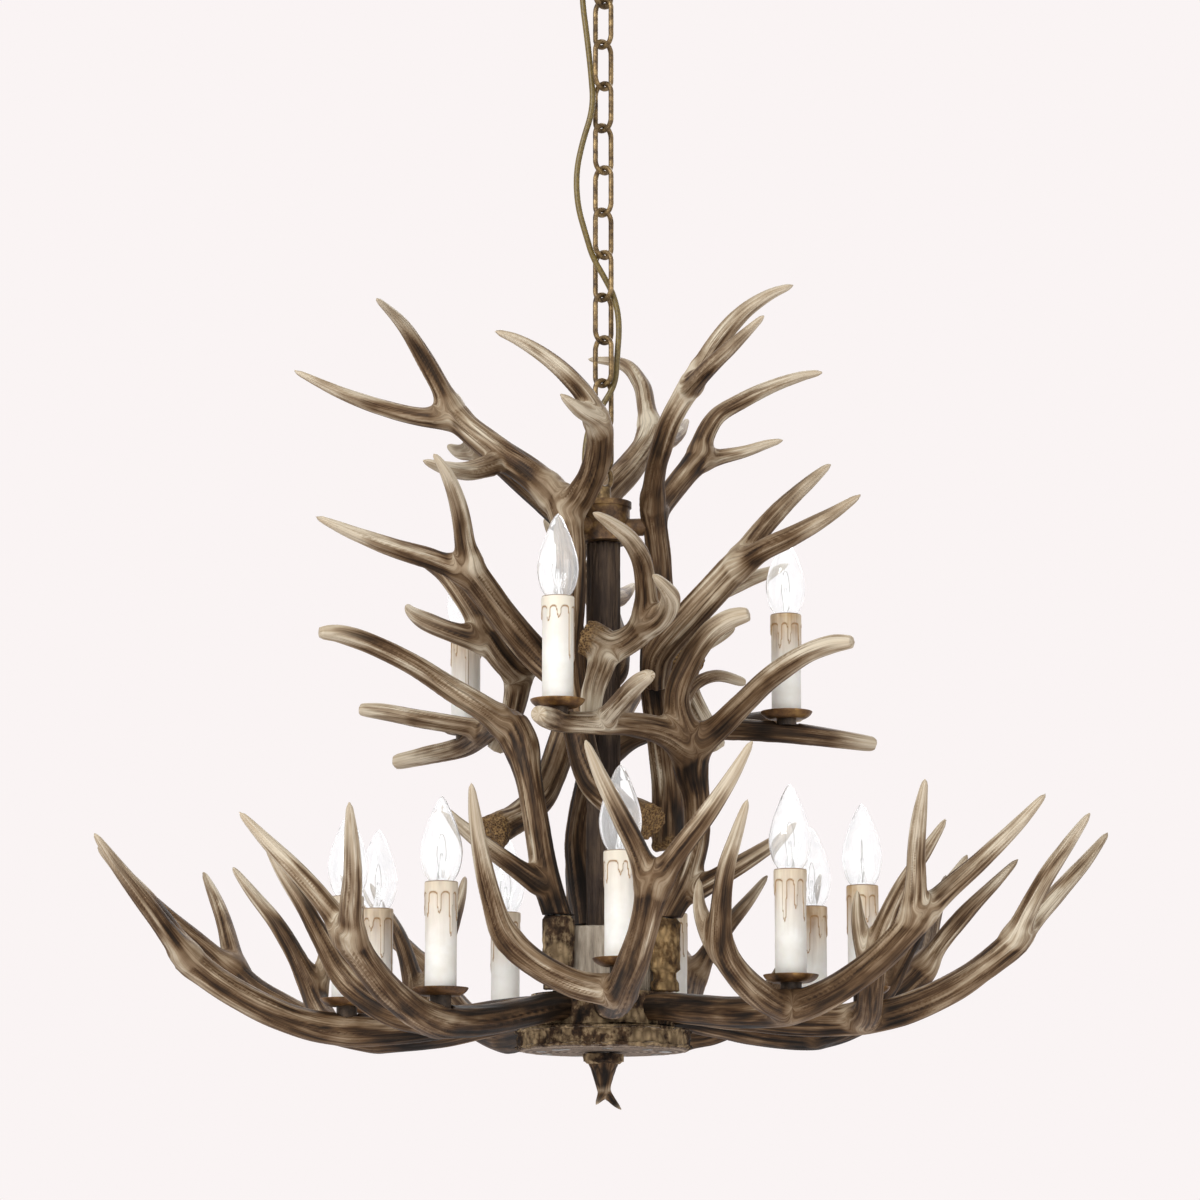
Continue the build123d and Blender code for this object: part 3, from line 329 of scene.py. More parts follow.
def smooth_material(name, colour, second, rough, mottle_mm=3.3333, bumpy=0.1, **sockets):
    """A moulded, drawn or blown surface: the eye sees one even colour with a faint mottle."""
    material, shader = new_material(name, Roughness=rough, **sockets)
    tree = material.node_tree
    point = add(tree, "TexCoord", output="Object")
    mottle = add(tree, "TexNoise", {"Vector": point, "Scale": per_metre(mottle_mm),
                                    "Detail": 4.0, "Roughness": 0.55})
    colour = add(tree, "ValToRGB", (mottle,), stops=[(0.35, colour), (0.65, second)])
    relief = add(tree, "Bump", {"Height": mottle, "Strength": bumpy, "Distance": 0.0004})
    feed(shader, {"Base Color": colour, "Normal": relief})
    return material


ANTLER = antler_material("cast_antler", 0.0)
# a copy darkened as painted shade, for the antlers behind the column
ANTLER_SHADED = antler_material("cast_antler_shaded", 0.08)
ANTLER_BROWN = antler_material("cast_antler_brown", 0.02)
BARK = bark_material("lichened_bark", "1f160f", "5a4430", "b49c78")
CORK = bark_material("cork_bark", "3f2f1e", "80633f", "b5976a")
# growth rings drawn 7 mm apart, about twice the real ones, so that they show
RING_WOOD = wood_material("sawn_trunk_slice", "4b3d31", "7c6b5a", "a49483", 8.3333, 6.8296)
PLANK = wood_material("weathered_plank", "5a5045", "928676", "bcb1a0", 4.7619)
COLUMN_WOOD = wood_material("stained_column_wood", "1c1510", "3a2c21", "5b4938", 5.2632)
# brass and steel finishes: cast collar, drawn links, spun plates, blackened and zinc-plated fasteners
COLLAR_METAL = metal_material("bronzed_cast_metal", "35261a", "654b30", "937548", 0.35, 0.5)
BRASS = metal_material("antiqued_brass", "3d2f1f", "6f5a3a", "9a8258", 0.6, 0.42, 7.1429)
RUST = metal_material("rust_washed_steel", "3f2a18", "6d4d2b", "9a7643", 0.45, 0.45, 14.286)
DARK_METAL = metal_material("blackened_steel", "1d1712", "35291d", "4f3d2a", 0.4, 0.5)
STEEL = metal_material("zinc_plated_steel", "6c6b68", "8e8d89", "a9a8a4", 0.9, 0.35)
WAX = candle_material("cast_candle_wax")
HOLDER = smooth_material("moulded_thermoset", "d6d0c2", "e6e1d6", 0.45)
TERMINAL = smooth_material("moulded_polyamide", "e4e2dc", "efeeea", 0.4)
CABLE = smooth_material("extruded_pvc_sheath", "57471f", "76642f", 0.42, 2.0)
WIRE = smooth_material("drawn_tungsten_wire", "5a5148", "8a7f70", 0.5)

# blown clear glass: see-through, with the faintest glow so that its thin walls read as pale
GLASS, glass_shader = new_material("blown_clear_glass", Roughness=0.02, IOR=1.45, Transmission_Weight=0.94,
                                   Emission_Strength=0.06)
glass_point = add(GLASS.node_tree, "TexCoord", output="Object")
smear = add(GLASS.node_tree, "TexNoise", {"Vector": glass_point, "Scale": per_metre(18.182), "Detail": 2.0,
                                          "Roughness": 0.55})
feed(glass_shader, {"Base Color": add(GLASS.node_tree, "ValToRGB", (smear,),
                                      stops=[(0.3, "f4f6f7"), (0.7, "ffffff")])})


# ---------------------------------------------------------------- surfaces
# a surface is its vertices and a list of blocks of faces, each block an array (face, corner)
def skin(rings, closed=False, start=None, end=None):
    """The surface through rings, an array (ring, side, xyz): quads between neighbouring rings, facing out
    where the sides turn right-handed about the way the rings go. closed joins the last ring to the
    first; a start or end point closes that end with a fan of triangles."""
    count, sides = rings.shape[:2]
    vertices = rings.reshape(-1, 3)
    side = np.arange(sides)
    beside = (side + 1) % sides
    ring = sides * np.arange(count if closed else count - 1)[:, None]
    ahead = (ring + sides) % (count * sides)
    faces = [np.stack([ring + side, ring + beside, ahead + beside, ahead + side], axis=2).reshape(-1, 4)]
    for point, first, second in ((start, beside, side),
                                 (end, side - sides + len(vertices), beside - sides + len(vertices))):
        if point is not None:
            faces.append(np.stack([np.full(sides, len(vertices)), first, second], axis=1))
            vertices = np.vstack([vertices, point])
    return vertices, faces


def joined(surfaces):
    """Several surfaces as one, each one's faces counted on from the vertices before it."""
    starts = np.cumsum([0] + [len(vertices) for vertices, _ in surfaces])
    return (np.vstack([vertices for vertices, _ in surfaces]),
            [block + start for (_, faces), start in zip(surfaces, starts) for block in faces])


def filled(mesh, surface):
    """The mesh with the surface's vertices and faces in it."""
    vertices, faces = surface
    mesh.from_pydata(vertices.tolist(), [], [face for block in faces for face in block.tolist()])
    return mesh


def shown(name, data, body, stands_for):
    """An object at the origin that rides on a body and stands for CAD nodes."""
    piece = bpy.data.objects.new(name, data)
    bpy.context.scene.collection.objects.link(piece)
    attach(piece, body)
    if stands_for:
        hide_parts(*stands_for)
    return piece


def finished(name, mesh, material, body, stands_for=()):
    """The mesh shaded smooth, in one material, as a shown object."""
    mesh.materials.clear()
    mesh.materials.append(material)
    mesh.polygons.foreach_set("use_smooth", np.ones(len(mesh.polygons), dtype=bool))
    mesh.update()
    return shown(name, mesh, body, stands_for)


def made(name, surface, material, body, stands_for=()):
    """A surface as a shown object."""
    mesh = filled(bpy.data.meshes.new(name), surface)
    mesh.validate()
    return finished(name, mesh, material, body, stands_for)


def read(collection, name, width=1):
    """One property of all vertices or faces as an array."""
    values = np.empty(len(collection) * width, dtype=np.float32)
    collection.foreach_get(name, values)
    return values.reshape(-1, width).astype(np.float64)


def moved(mesh, points):
    """Puts the mesh's vertices at these points."""
    mesh.vertices.foreach_set("co", points.astype(np.float32).ravel())
    mesh.update()


def keep(mesh, **quantities):
    """Keeps each quantity on the mesh's vertices, where a material reads it by name."""
    for name, values in quantities.items():
        kind, key = ("FLOAT_VECTOR", "vector") if values.ndim == 2 else ("FLOAT", "value")
        mesh.attributes.new(name, kind, "POINT").data.foreach_set(key, values.astype(np.float32).ravel())


def lathe(profile, turns=64, centre=(0, 0, 0), wobble=None):
    """A surface of revolution: the profile's point (r, h) goes round as (r w cos a, r w sin a, h), with w
    the wobble at (a, h). The profile is a closed loop, or runs from axis to axis."""
    profile = np.array(profile, dtype=float)
    poles = profile[0, 0] == 0 and profile[-1, 0] == 0
    body = profile[1:-1] if poles else profile
    angle = 2 * np.pi * np.arange(turns) / turns
    radius, height = body[:, :1], body[:, 1:]
    if wobble:
        radius = radius * wobble(angle, height)
    rings = np.stack(np.broadcast_arrays(radius * np.cos(angle), radius * np.sin(angle), height), axis=2)
    ends = [(*centre[:2], centre[2] + height) if poles else None for height in profile[[0, -1], 1]]
    return skin(rings + centre, not poles, *ends)


def stretches(*parts):
    """Points along straight stretches, each (start, end, count): start + (end - start) k / count."""
    return np.vstack([np.array(start) + np.subtract(end, start) * np.arange(count)[:, None] / count
                      for start, end, count in parts])


def lattice_noise(points, seed):
    """Smooth value noise of 3-D points: hashed lattice values with an eased trilinear blend."""
    base = np.floor(points).astype(np.int64)
    part = points - base
    ease = part * part * (3 - 2 * part)
    total = np.zeros(len(points))
    for corner in range(8):
        offset = np.array([corner & 1, corner >> 1 & 1, corner >> 2 & 1])
        cell = base + offset
        mixed = (cell[:, 0] * 73856093) ^ (cell[:, 1] * 19349663) ^ (cell[:, 2] * 83492791)
        mixed = mixed ^ (seed * 2654435761)
        mixed = (mixed ^ (mixed >> 13)) * 1274126177 & 0x7FFFFFFF
        value = (mixed ^ (mixed >> 15)) % 65536 / 65535.0
        total += value * np.prod(np.where(offset == 1, ease, 1 - ease), axis=1)
    return total


def smoothstep(low, high, value):
    """0 at low and 1 at high, eased as 3 t^2 - 2 t^3; low may be the greater."""
    t = np.clip((value - low) / (high - low), 0, 1)
    return t * t * (3 - 2 * t)


def roughen(piece, depth, scale, seed, inside=0.0, outside=0.0, ridged=False):
    """Moves each vertex inward along its normal by depth times value noise, scale being its cells per
    metre along x, y and z; ridged noise cuts cracks. It starts at the radius inside and is full from
    outside on, and where neither is given it is full everywhere."""
    mesh = piece.data
    points = read(mesh.vertices, "co", 3)
    value = lattice_noise(points * scale + 50, seed)
    if ridged:
        value = 1 - smoothstep(0.0, 0.13, np.abs(value - 0.5))
    value = 0.75 * value + 0.25 * lattice_noise(points * scale * 2.7 + 90, seed + 1)
    radius = np.hypot(points[:, 0], points[:, 1])
    if outside > inside:
        value = value * smoothstep(inside, outside, radius)
    else:
        value = value * (radius > inside)
    moved(mesh, points - read(mesh.vertex_normals, "vector", 3) * depth * value[:, None])


# ---------------------------------------------------------------- antler moulds
# A branch is a list of stations along its centreline, each (first, second, up, radius) in
# millimetres. The lower arm is written in its own directions, out from the column and sideways; the
# others as (right, back, up), counted from the hub, where the first one stands.
LOWER_BEAM = [
    (44, 0, 16, 13), (75, 0, 16, 13.4), (120, 0, 12, 14), (175, 0, 8, 14.6), (228, 0, 10, 15),
    (262, 3, 18, 14.2), (300, 9, 36, 13.4), (332, 14, 58, 13), (360, 18, 82, 12.8),
]
LOWER_TINES = [
    [(353, 17, 75, 11.8), (374, 34, 102, 9.8), (396, 56, 130, 8.4), (418, 75, 158, 6.2), (438, 91, 186, 2.2)],
    [(353, 17, 75, 11.8), (368, 5, 106, 9.6), (385, -12, 136, 8.2), (404, -28, 163, 6), (422, -41, 188, 2.2)],
    [(226, 2, 10, 13.6), (236, -38, 16, 12.8), (240, -74, 34, 12), (244, -97, 56, 11.2), (254, -108, 84, 9.4),
     (269, -117, 116, 7.8), (288, -123, 145, 5.8), (305, -127, 172, 2.2)],
    [(242, -88, 44, 9.6), (234, -103, 67, 7.6), (231, -110, 89, 5.8), (231, -110, 113, 2.0)],
]
UPRIGHT_BEAM = [
    (50, -13, 84, 13.5), (57, -15, 100, 13.5), (72, -18, 131, 13), (82, -20, 166, 12.6),
    (82, -28, 202, 13), (77, -40, 231, 17), (79, -50, 250, 16),
]
UPRIGHT_TINES = [
    [(78, -46, 240, 15.5), (53, -70, 255, 13), (25, -98, 258, 11.6), (-7, -132, 254, 10.4),
     (-38, -172, 250, 10.2), (-48, -215, 247, 9.4), (-54, -256, 244, 7.6)],
    [(0, -124, 258, 8.8), (17, -178, 269, 9), (30, -214, 277, 8.2), (39, -236, 280, 6)],
    [(79, -50, 244, 14), (99, -62, 258, 12.4), (120, -85, 276, 11.4), (145, -110, 297, 10.6),
     (173, -135, 313, 9.8), (197, -152, 320, 8.8), (214, -163, 320, 6)],
    [(74, -16, 116, 10.6), (103, -30, 132, 9.4), (133, -45, 149, 8), (155, -56, 163, 5.6), (171, -64, 177, 2)],
]
UPRIGHT_SPRIG = [(74, -58, 250, 12.6), (64, -72, 284, 12), (76, -77, 317, 11.4), (93, -80, 341, 10.6),
                 (111, -85, 353, 9.4), (128, -90, 357, 7)]
UPRIGHT_SPUR = [(63, -64, 272, 9), (80, -40, 301, 6.6), (101, -25, 312, 5.8), (127, -10, 308, 4.4)]
MIDDLE_BEAM = [
    (-36, -34, 306, 12.4), (-46, -28, 316, 13.6), (-60, -24, 331, 14.4), (-86, -40, 359, 14.8),
    (-106, -58, 384, 14.6), (-119, -70, 400, 13.4),
]
MIDDLE_TINES = [
    [(-116, -68, 396, 12.5), (-122, -86, 423, 9.8), (-127, -110, 449, 8.6), (-136, -134, 472, 6.2),
     (-148, -150, 489, 2.2)],
    [(-114, -66, 394, 12.5), (-148, -76, 407, 10.2), (-184, -88, 416, 9), (-219, -100, 427, 6.6),
     (-253, -111, 440, 2.2)],
]
INNER_BEAM = [(-16, -84, 338, 18), (-9, -86, 335, 16), (8, -88, 328, 13.6), (26, -92, 336, 13),
              (38, -100, 350, 12.2)]
INNER_TINES = [
    [(36, -98, 346, 11.8), (37, -120, 371, 10), (33, -146, 394, 9.2), (21, -175, 409, 8),
     (5, -195, 418, 5.6), (-10, -207, 425, 2.2)],
    [(35, -97, 343, 11.6), (52, -122, 350, 10), (58, -152, 360, 8.8), (50, -173, 369, 5.4), (41, -184, 376, 2)],
    [(2, -87, 330, 13), (-3, -93, 307, 12.2), (-9, -103, 286, 10.8), (-12, -121, 258, 8.8)],
]
TOP_BEAM = [
    (42, -92, 171, 18), (34, -86, 178, 15.6), (13, -75, 190, 14.4), (-9, -60, 213, 14.4),
    (-22, -46, 258, 14.2), (-28, -36, 299, 13.8), (-31, -33, 335, 13.6), (-29, -42, 375, 13.6),
    (-29, -42, 413, 14), (-33, -36, 450, 15), (-42, -24, 480, 16),
]
TOP_TINES = [
    [(-38, -28, 468, 15.6), (-62, -15, 495, 15), (-93, -4, 519, 14.2), (-121, 3, 542, 13.2),
     (-139, 5, 560, 12.2)],
    [(-136, 5, 557, 12), (-147, -2, 579, 9.8), (-163, -12, 606, 8.8), (-181, -34, 631, 6.4),
     (-203, -78, 645, 2.2)],
    [(-132, 4, 554, 12), (-163, 8, 555, 9.6), (-195, 8, 562, 8.4), (-236, 5, 576, 6.4), (-282, 0, 597, 2.2)],
    [(-34, -33, 458, 14.6), (-20, -49, 471, 13.8), (-9, -68, 489, 13.2), (-3, -92, 509, 12.4),
     (-3, -110, 524, 11.4)],
    [(-3, -106, 520, 11), (-14, -130, 541, 9.6), (-31, -146, 558, 8.6), (-53, -158, 574, 7),
     (-75, -168, 585, 5), (-95, -175, 591, 2.2)],
    [(-3, -104, 518, 10.6), (-8, -124, 524, 8.4), (-21, -144, 528, 6.8), (-38, -163, 538, 2.2)],
]
TOP_SPUR = [(-96, -12, 508, 11.4), (-122, -44, 494, 9), (-143, -76, 491, 6), (-160, -92, 494, 2.2)]
SLENDER_BEAM = [
    (58, 40, 162, 15.4), (58, 37, 190, 15.2), (57, 26, 225, 14.8), (52, 9, 262, 14.2), (46, -4, 299, 13.4),
    (45, -7, 335, 13), (52, -4, 375, 12.8), (51, -5, 412, 12.2), (47, -11, 448, 11.4), (43, -21, 472, 11.4),
]
SLENDER_TINES = [
    [(44, -18, 464, 11), (46, -46, 490, 10.4), (52, -76, 511, 10.2), (61, -100, 532, 10.4),
     (82, -122, 564, 10.4)],
    [(80, -120, 560, 10), (99, -132, 590, 9.2), (122, -138, 616, 7.6), (145, -139, 632, 5.4),
     (168, -137, 642, 2.2)],
    [(74, -114, 552, 9.8), (91, -166, 560, 8.2), (112, -205, 572, 6.2), (137, -244, 588, 2.2)],
    [(45, -14, 458, 11), (53, 6, 474, 11.4), (67, 25, 496, 11.4), (87, 42, 524, 11.2)],
    [(84, 40, 520, 10.6), (94, 50, 549, 9.8), (106, 53, 567, 8.8), (127, 48, 579, 8), (154, 36, 590, 6.8),
     (181, 20, 596, 4.8), (201, 7, 597, 2.2)],
    [(84, 40, 519, 10.2), (107, 55, 528, 7.6), (130, 54, 533, 6.2), (149, 52, 539, 4.4), (167, 48, 543, 2)],
]
FINIAL_CONE = [(0, 0, -24, 17), (0, 0, -34, 12.4), (0, 0, -42, 9.5), (0, 0, -52, 6.4), (0, 0, -58, 4)]
FINIAL_TINES = [
    [(1, 0, -48, 4.4), (0, -1, -55, 4), (-3, -3, -61, 3.2), (-7, -4, -67, 1.6)],
    [(-1, 0, -48, 4.4), (3, 0, -56, 4), (9, 1, -64, 3), (16, 2, -71, 1.6)],
]

# lower arms: (stretch, droop) at the tip; the others: (turn about the column, lift of the tips)
ARM_FIT = [(0, -12), (0, 8), (10, 6), (22, 14), (16, 8), (16, 8), (24, 24), (26, 34), (22, 36)]
UPRIGHT_FIT = [(0, 0), (120, 22), (240, 18)]
MIDDLE_FIT = [(0, 0), (120, 11), (240, 11)]
INNER_FIT = [(0, 0), (126, 14), (240, 26)]
TOP_FIT = [(0, 0), (253, 14)]
UPRIGHT_RISE = (100, 150)
MIDDLE_RISE = (320, 150)
INNER_RISE = (330, 80)
TOP_RISE = (480, 110)
ARM_COUNT = 9
SEAT_OUT, ARM_TIP_OUT, HUB_BLOCK_RADIUS = 230.0, 438.0, 66.0
UPPER_SEAT_OUT, UPPER_SEAT_ANGLE, UPPER_SEAT_UP, SEAT_UP = 174.0, -13.0, 256.0, 20.0


def turned(right, back, angle):
    """(right, back) turned by the angle about the column."""
    cosine, sine = math.cos(math.radians(angle)), math.sin(math.radians(angle))
    return right * cosine - back * sine, right * sine + back * cosine


def raised(up, lift, rise):
    """A height lifted by none of lift at the rise's start and by all of it past the rise's height."""
    start, height = rise
    return up + lift * np.clip((up - start) / height, 0.0, 1.0)


def placed(branch, fit=(0, 0), rise=(0, 1)):
    """Stations (x, y, z, radius) in metres of one branch, turned about the column and lifted."""
    right, back, up, radius = np.array(branch, dtype=float).T
    x, y = turned(right, back, fit[0])
    return MM * np.stack([x, y, raised(up, fit[1], rise), radius], axis=1) + (0, 0, HUB, 0)


def arm_angle(number):
    return 3.5 + number * 360.0 / ARM_COUNT


def arm_droop(droop, out):
    """How far an arm hangs at a distance out: nothing in the hub block and all of droop at its tip."""
    return droop * np.maximum(0.0, out - HUB_BLOCK_RADIUS) / (ARM_TIP_OUT - HUB_BLOCK_RADIUS)


def arm_placed(branch, number):
    """Stations of one branch of lower arm 0 to 8, with that arm's own stretch and droop."""
    stretch, droop = ARM_FIT[number]
    out, side, up, radius = np.array(branch, dtype=float).T
    past_seat = np.maximum(0.0, out - SEAT_OUT) / (ARM_TIP_OUT - SEAT_OUT)
    x, y = turned(side, -(out + stretch * past_seat), arm_angle(number))
    return MM * np.stack([x, y, up - arm_droop(droop, out), radius], axis=1) + (0, 0, HUB, 0)


def light_seats():
    """Axis point of each candle light at the antler: nine lower, then three upper."""
    seats = []
    for number, (_, droop) in enumerate(ARM_FIT):
        seats.append((*turned(0, -SEAT_OUT, arm_angle(number)), SEAT_UP - arm_droop(droop, SEAT_OUT)))
    for turn, lift in UPRIGHT_FIT:
        seats.append((*turned(0, -UPPER_SEAT_OUT, UPPER_SEAT_ANGLE + turn),
                      raised(UPPER_SEAT_UP, lift, UPRIGHT_RISE)))
    return MM * np.array(seats) + (0, 0, HUB)


SEATS = light_seats()

# ---------------------------------------------------------------- antlers
LINE_STEP = 0.0035      # between the rows of a branch's line
POINTED = 0.003         # a branch that ends thinner than this ends in a point
CUT_TIP = 0.0105        # one that ends thinner than this is worn pale at its blunt tip
FURROW_DEPTH, LUMP_DEPTH = 0.0009, 0.0012
BURR_BEAD, BURR_WAIST = 0.0042, 0.0022
SEAT_RADIUS, SEAT_HEADROOM, SEAT_GAP = 0.0106, 0.03, 0.0001
VOXEL = 0.0019


def dense_line(stations, step=LINE_STEP):
    """Rows (x, y, z, radius) along the cubic Hermite curve through the stations P. In the chord d from P[k]
    to P[k+1], with t from 0 to 1, a row is (2t^3 - 3t^2 + 1) P[k] + (t^3 - 2t^2 + t) d m[k]
    + (3t^2 - 2t^3) P[k+1] + (t^3 - t^2) d m[k+1], where m[k] is (P[k+1] - P[k-1]) / (d[k-1] + d[k])."""
    chord = np.linalg.norm(np.diff(stations[:, :3], axis=0), axis=1)[:, None]
    slopes = np.vstack([(stations[1] - stations[0]) / chord[0],
                        (stations[2:] - stations[:-2]) / (chord[:-1] + chord[1:]),
                        (stations[-1] - stations[-2]) / chord[-1]])
    counts = np.maximum(2, (chord[:, 0] / step).astype(int))
    k = np.repeat(np.arange(len(counts)), counts)
    t = ((np.arange(len(k)) - (np.cumsum(counts) - counts)[k]) / counts[k])[:, None]
    rows = ((2 * t ** 3 - 3 * t ** 2 + 1) * stations[k] + (t ** 3 - 2 * t ** 2 + t) * chord[k] * slopes[k]
            + (3 * t ** 2 - 2 * t ** 3) * stations[k + 1] + (t ** 3 - t ** 2) * chord[k] * slopes[k + 1])
    return np.vstack([rows, stations[-1:]])


def line_frames(line, first_across=None):
    """Directions (across, third) at each row of a line, the across one carried along without twist."""
    along = np.gradient(line[:, :3], axis=0)
    along /= np.linalg.norm(along, axis=1)[:, None]
    across = np.empty_like(along)
    last = np.cross(along[0], (0.3, 0.2, 0.9)) if first_across is None else first_across
    for k, direction in enumerate(along):
        last = last - direction * last.dot(direction)
        last = last / np.linalg.norm(last)
        across[k] = last
    return across, np.cross(along, across)


def tube(line, frames, sides=20):
    """A closed round tube: ring k is P[k] + r[k] (cos a across[k] + sin a third[k])."""
    across, third = frames
    radius = line[:, 3].copy()
    if radius[-1] < POINTED:
        radius[-2:] *= (0.9, 0.6)
    angle = 2 * np.pi * np.arange(sides)[:, None] / sides
    spokes = np.cos(angle) * across[:, None] + np.sin(angle) * third[:, None]
    return skin(line[:, None, :3] + radius[:, None, None] * spokes, start=line[0, :3], end=line[-1, :3])


def remeshed(name, surface, voxel, rounds=10):
    """One closed skin over overlapping closed surfaces, on a grid of voxels, its forks eased by smoothing."""
    rough = filled(bpy.data.meshes.new(name + "_parts"), surface)
    holder = bpy.data.objects.new(name + "_parts", rough)
    bpy.context.scene.collection.objects.link(holder)
    cover = holder.modifiers.new("cover", "REMESH")
    cover.mode, cover.voxel_size, cover.adaptivity = "VOXEL", voxel, 0.0
    ease = holder.modifiers.new("ease", "SMOOTH")
    ease.factor, ease.iterations = 0.5, rounds
    graph = bpy.context.evaluated_depsgraph_get()
    mesh = bpy.data.meshes.new_from_object(holder.evaluated_get(graph))
    mesh.name = name
    bpy.data.objects.remove(holder)
    bpy.data.meshes.remove(rough)
    return mesh


def rows_of(values, arc, s):
    """A quantity kept for each row of a line, read between the rows at the distances s along it."""
    return np.stack([np.interp(s, arc, column) for column in values.T], axis=1)


def along_line(points, line):
    """For each point its distance s along the line (past an end it goes below 0 or above the length),
    with the length passed at each row: s is the nearest row's, plus the way on in its direction."""
    arc = np.concatenate([[0], np.cumsum(np.linalg.norm(np.diff(line[:, :3], axis=0), axis=1))])
    direction = np.gradient(line[:, :3], axis=0)
    direction /= np.linalg.norm(direction, axis=1)[:, None]
    nearest = np.concatenate([((part[:, None, :] - line[None, :, :3]) ** 2).sum(axis=2).argmin(axis=1)
                              for part in np.array_split(points, max(1, len(points) // 4000))])
    return arc[nearest] + ((points - line[nearest, :3]) * direction[nearest]).sum(axis=1), arc


def settled(points, lines, soft, rounds=2):
    """The points moved on to the smooth union of the branches, f = 0, where
    f = -soft log(sum of exp(-d / soft)) and d is the distance to each branch's own surface. A wide cut
    end keeps its flat face."""
    for _ in range(rounds):
        gaps, ways, firm = [], [], []
        for k, line in enumerate(lines):
            s, arc = along_line(points, line)
            row = rows_of(line, arc, s)
            away = points - row[:, :3]
            size = np.maximum(np.linalg.norm(away, axis=1), 1e-6)
            gaps.append(size - row[:, 3])
            ways.append(away / size[:, None])
            kept = smoothstep(0.001, 0.012, arc[-1] - s)
            firm.append(kept * smoothstep(0.0015, 0.005, s) if k == 0 else kept)
        low = np.min(gaps, axis=0)
        share = np.exp(-(gaps - low) / soft)
        total = share.sum(axis=0)
        value = low - soft * np.log(total)
        share /= total
        slope = np.einsum("kn,knc->nc", share, np.array(ways))
        steep = np.maximum((slope ** 2).sum(axis=1), 0.35)
        points = points - (value / steep * (share * firm).sum(axis=0))[:, None] * slope
    return points


def furrows(u, v, along, seed):
    """1 on a ridge and 0 at the bottom of a furrow: the distance of value noise from its middle, in cells
    4.5 and 3.3 mm across the branch and 100 and 60 mm along it."""
    wide = lattice_noise(np.stack([u * 220 + 9, v * 220 + 9, along / 0.1 + 9], axis=1), seed)
    fine = lattice_noise(np.stack([u * 300 + 9, v * 300 + 9, along / 0.06 + 9], axis=1), seed + 7)
    return 0.62 * smoothstep(0, 0.2, np.abs(wide - 0.5)) + 0.38 * smoothstep(0, 0.25, np.abs(fine - 0.5))


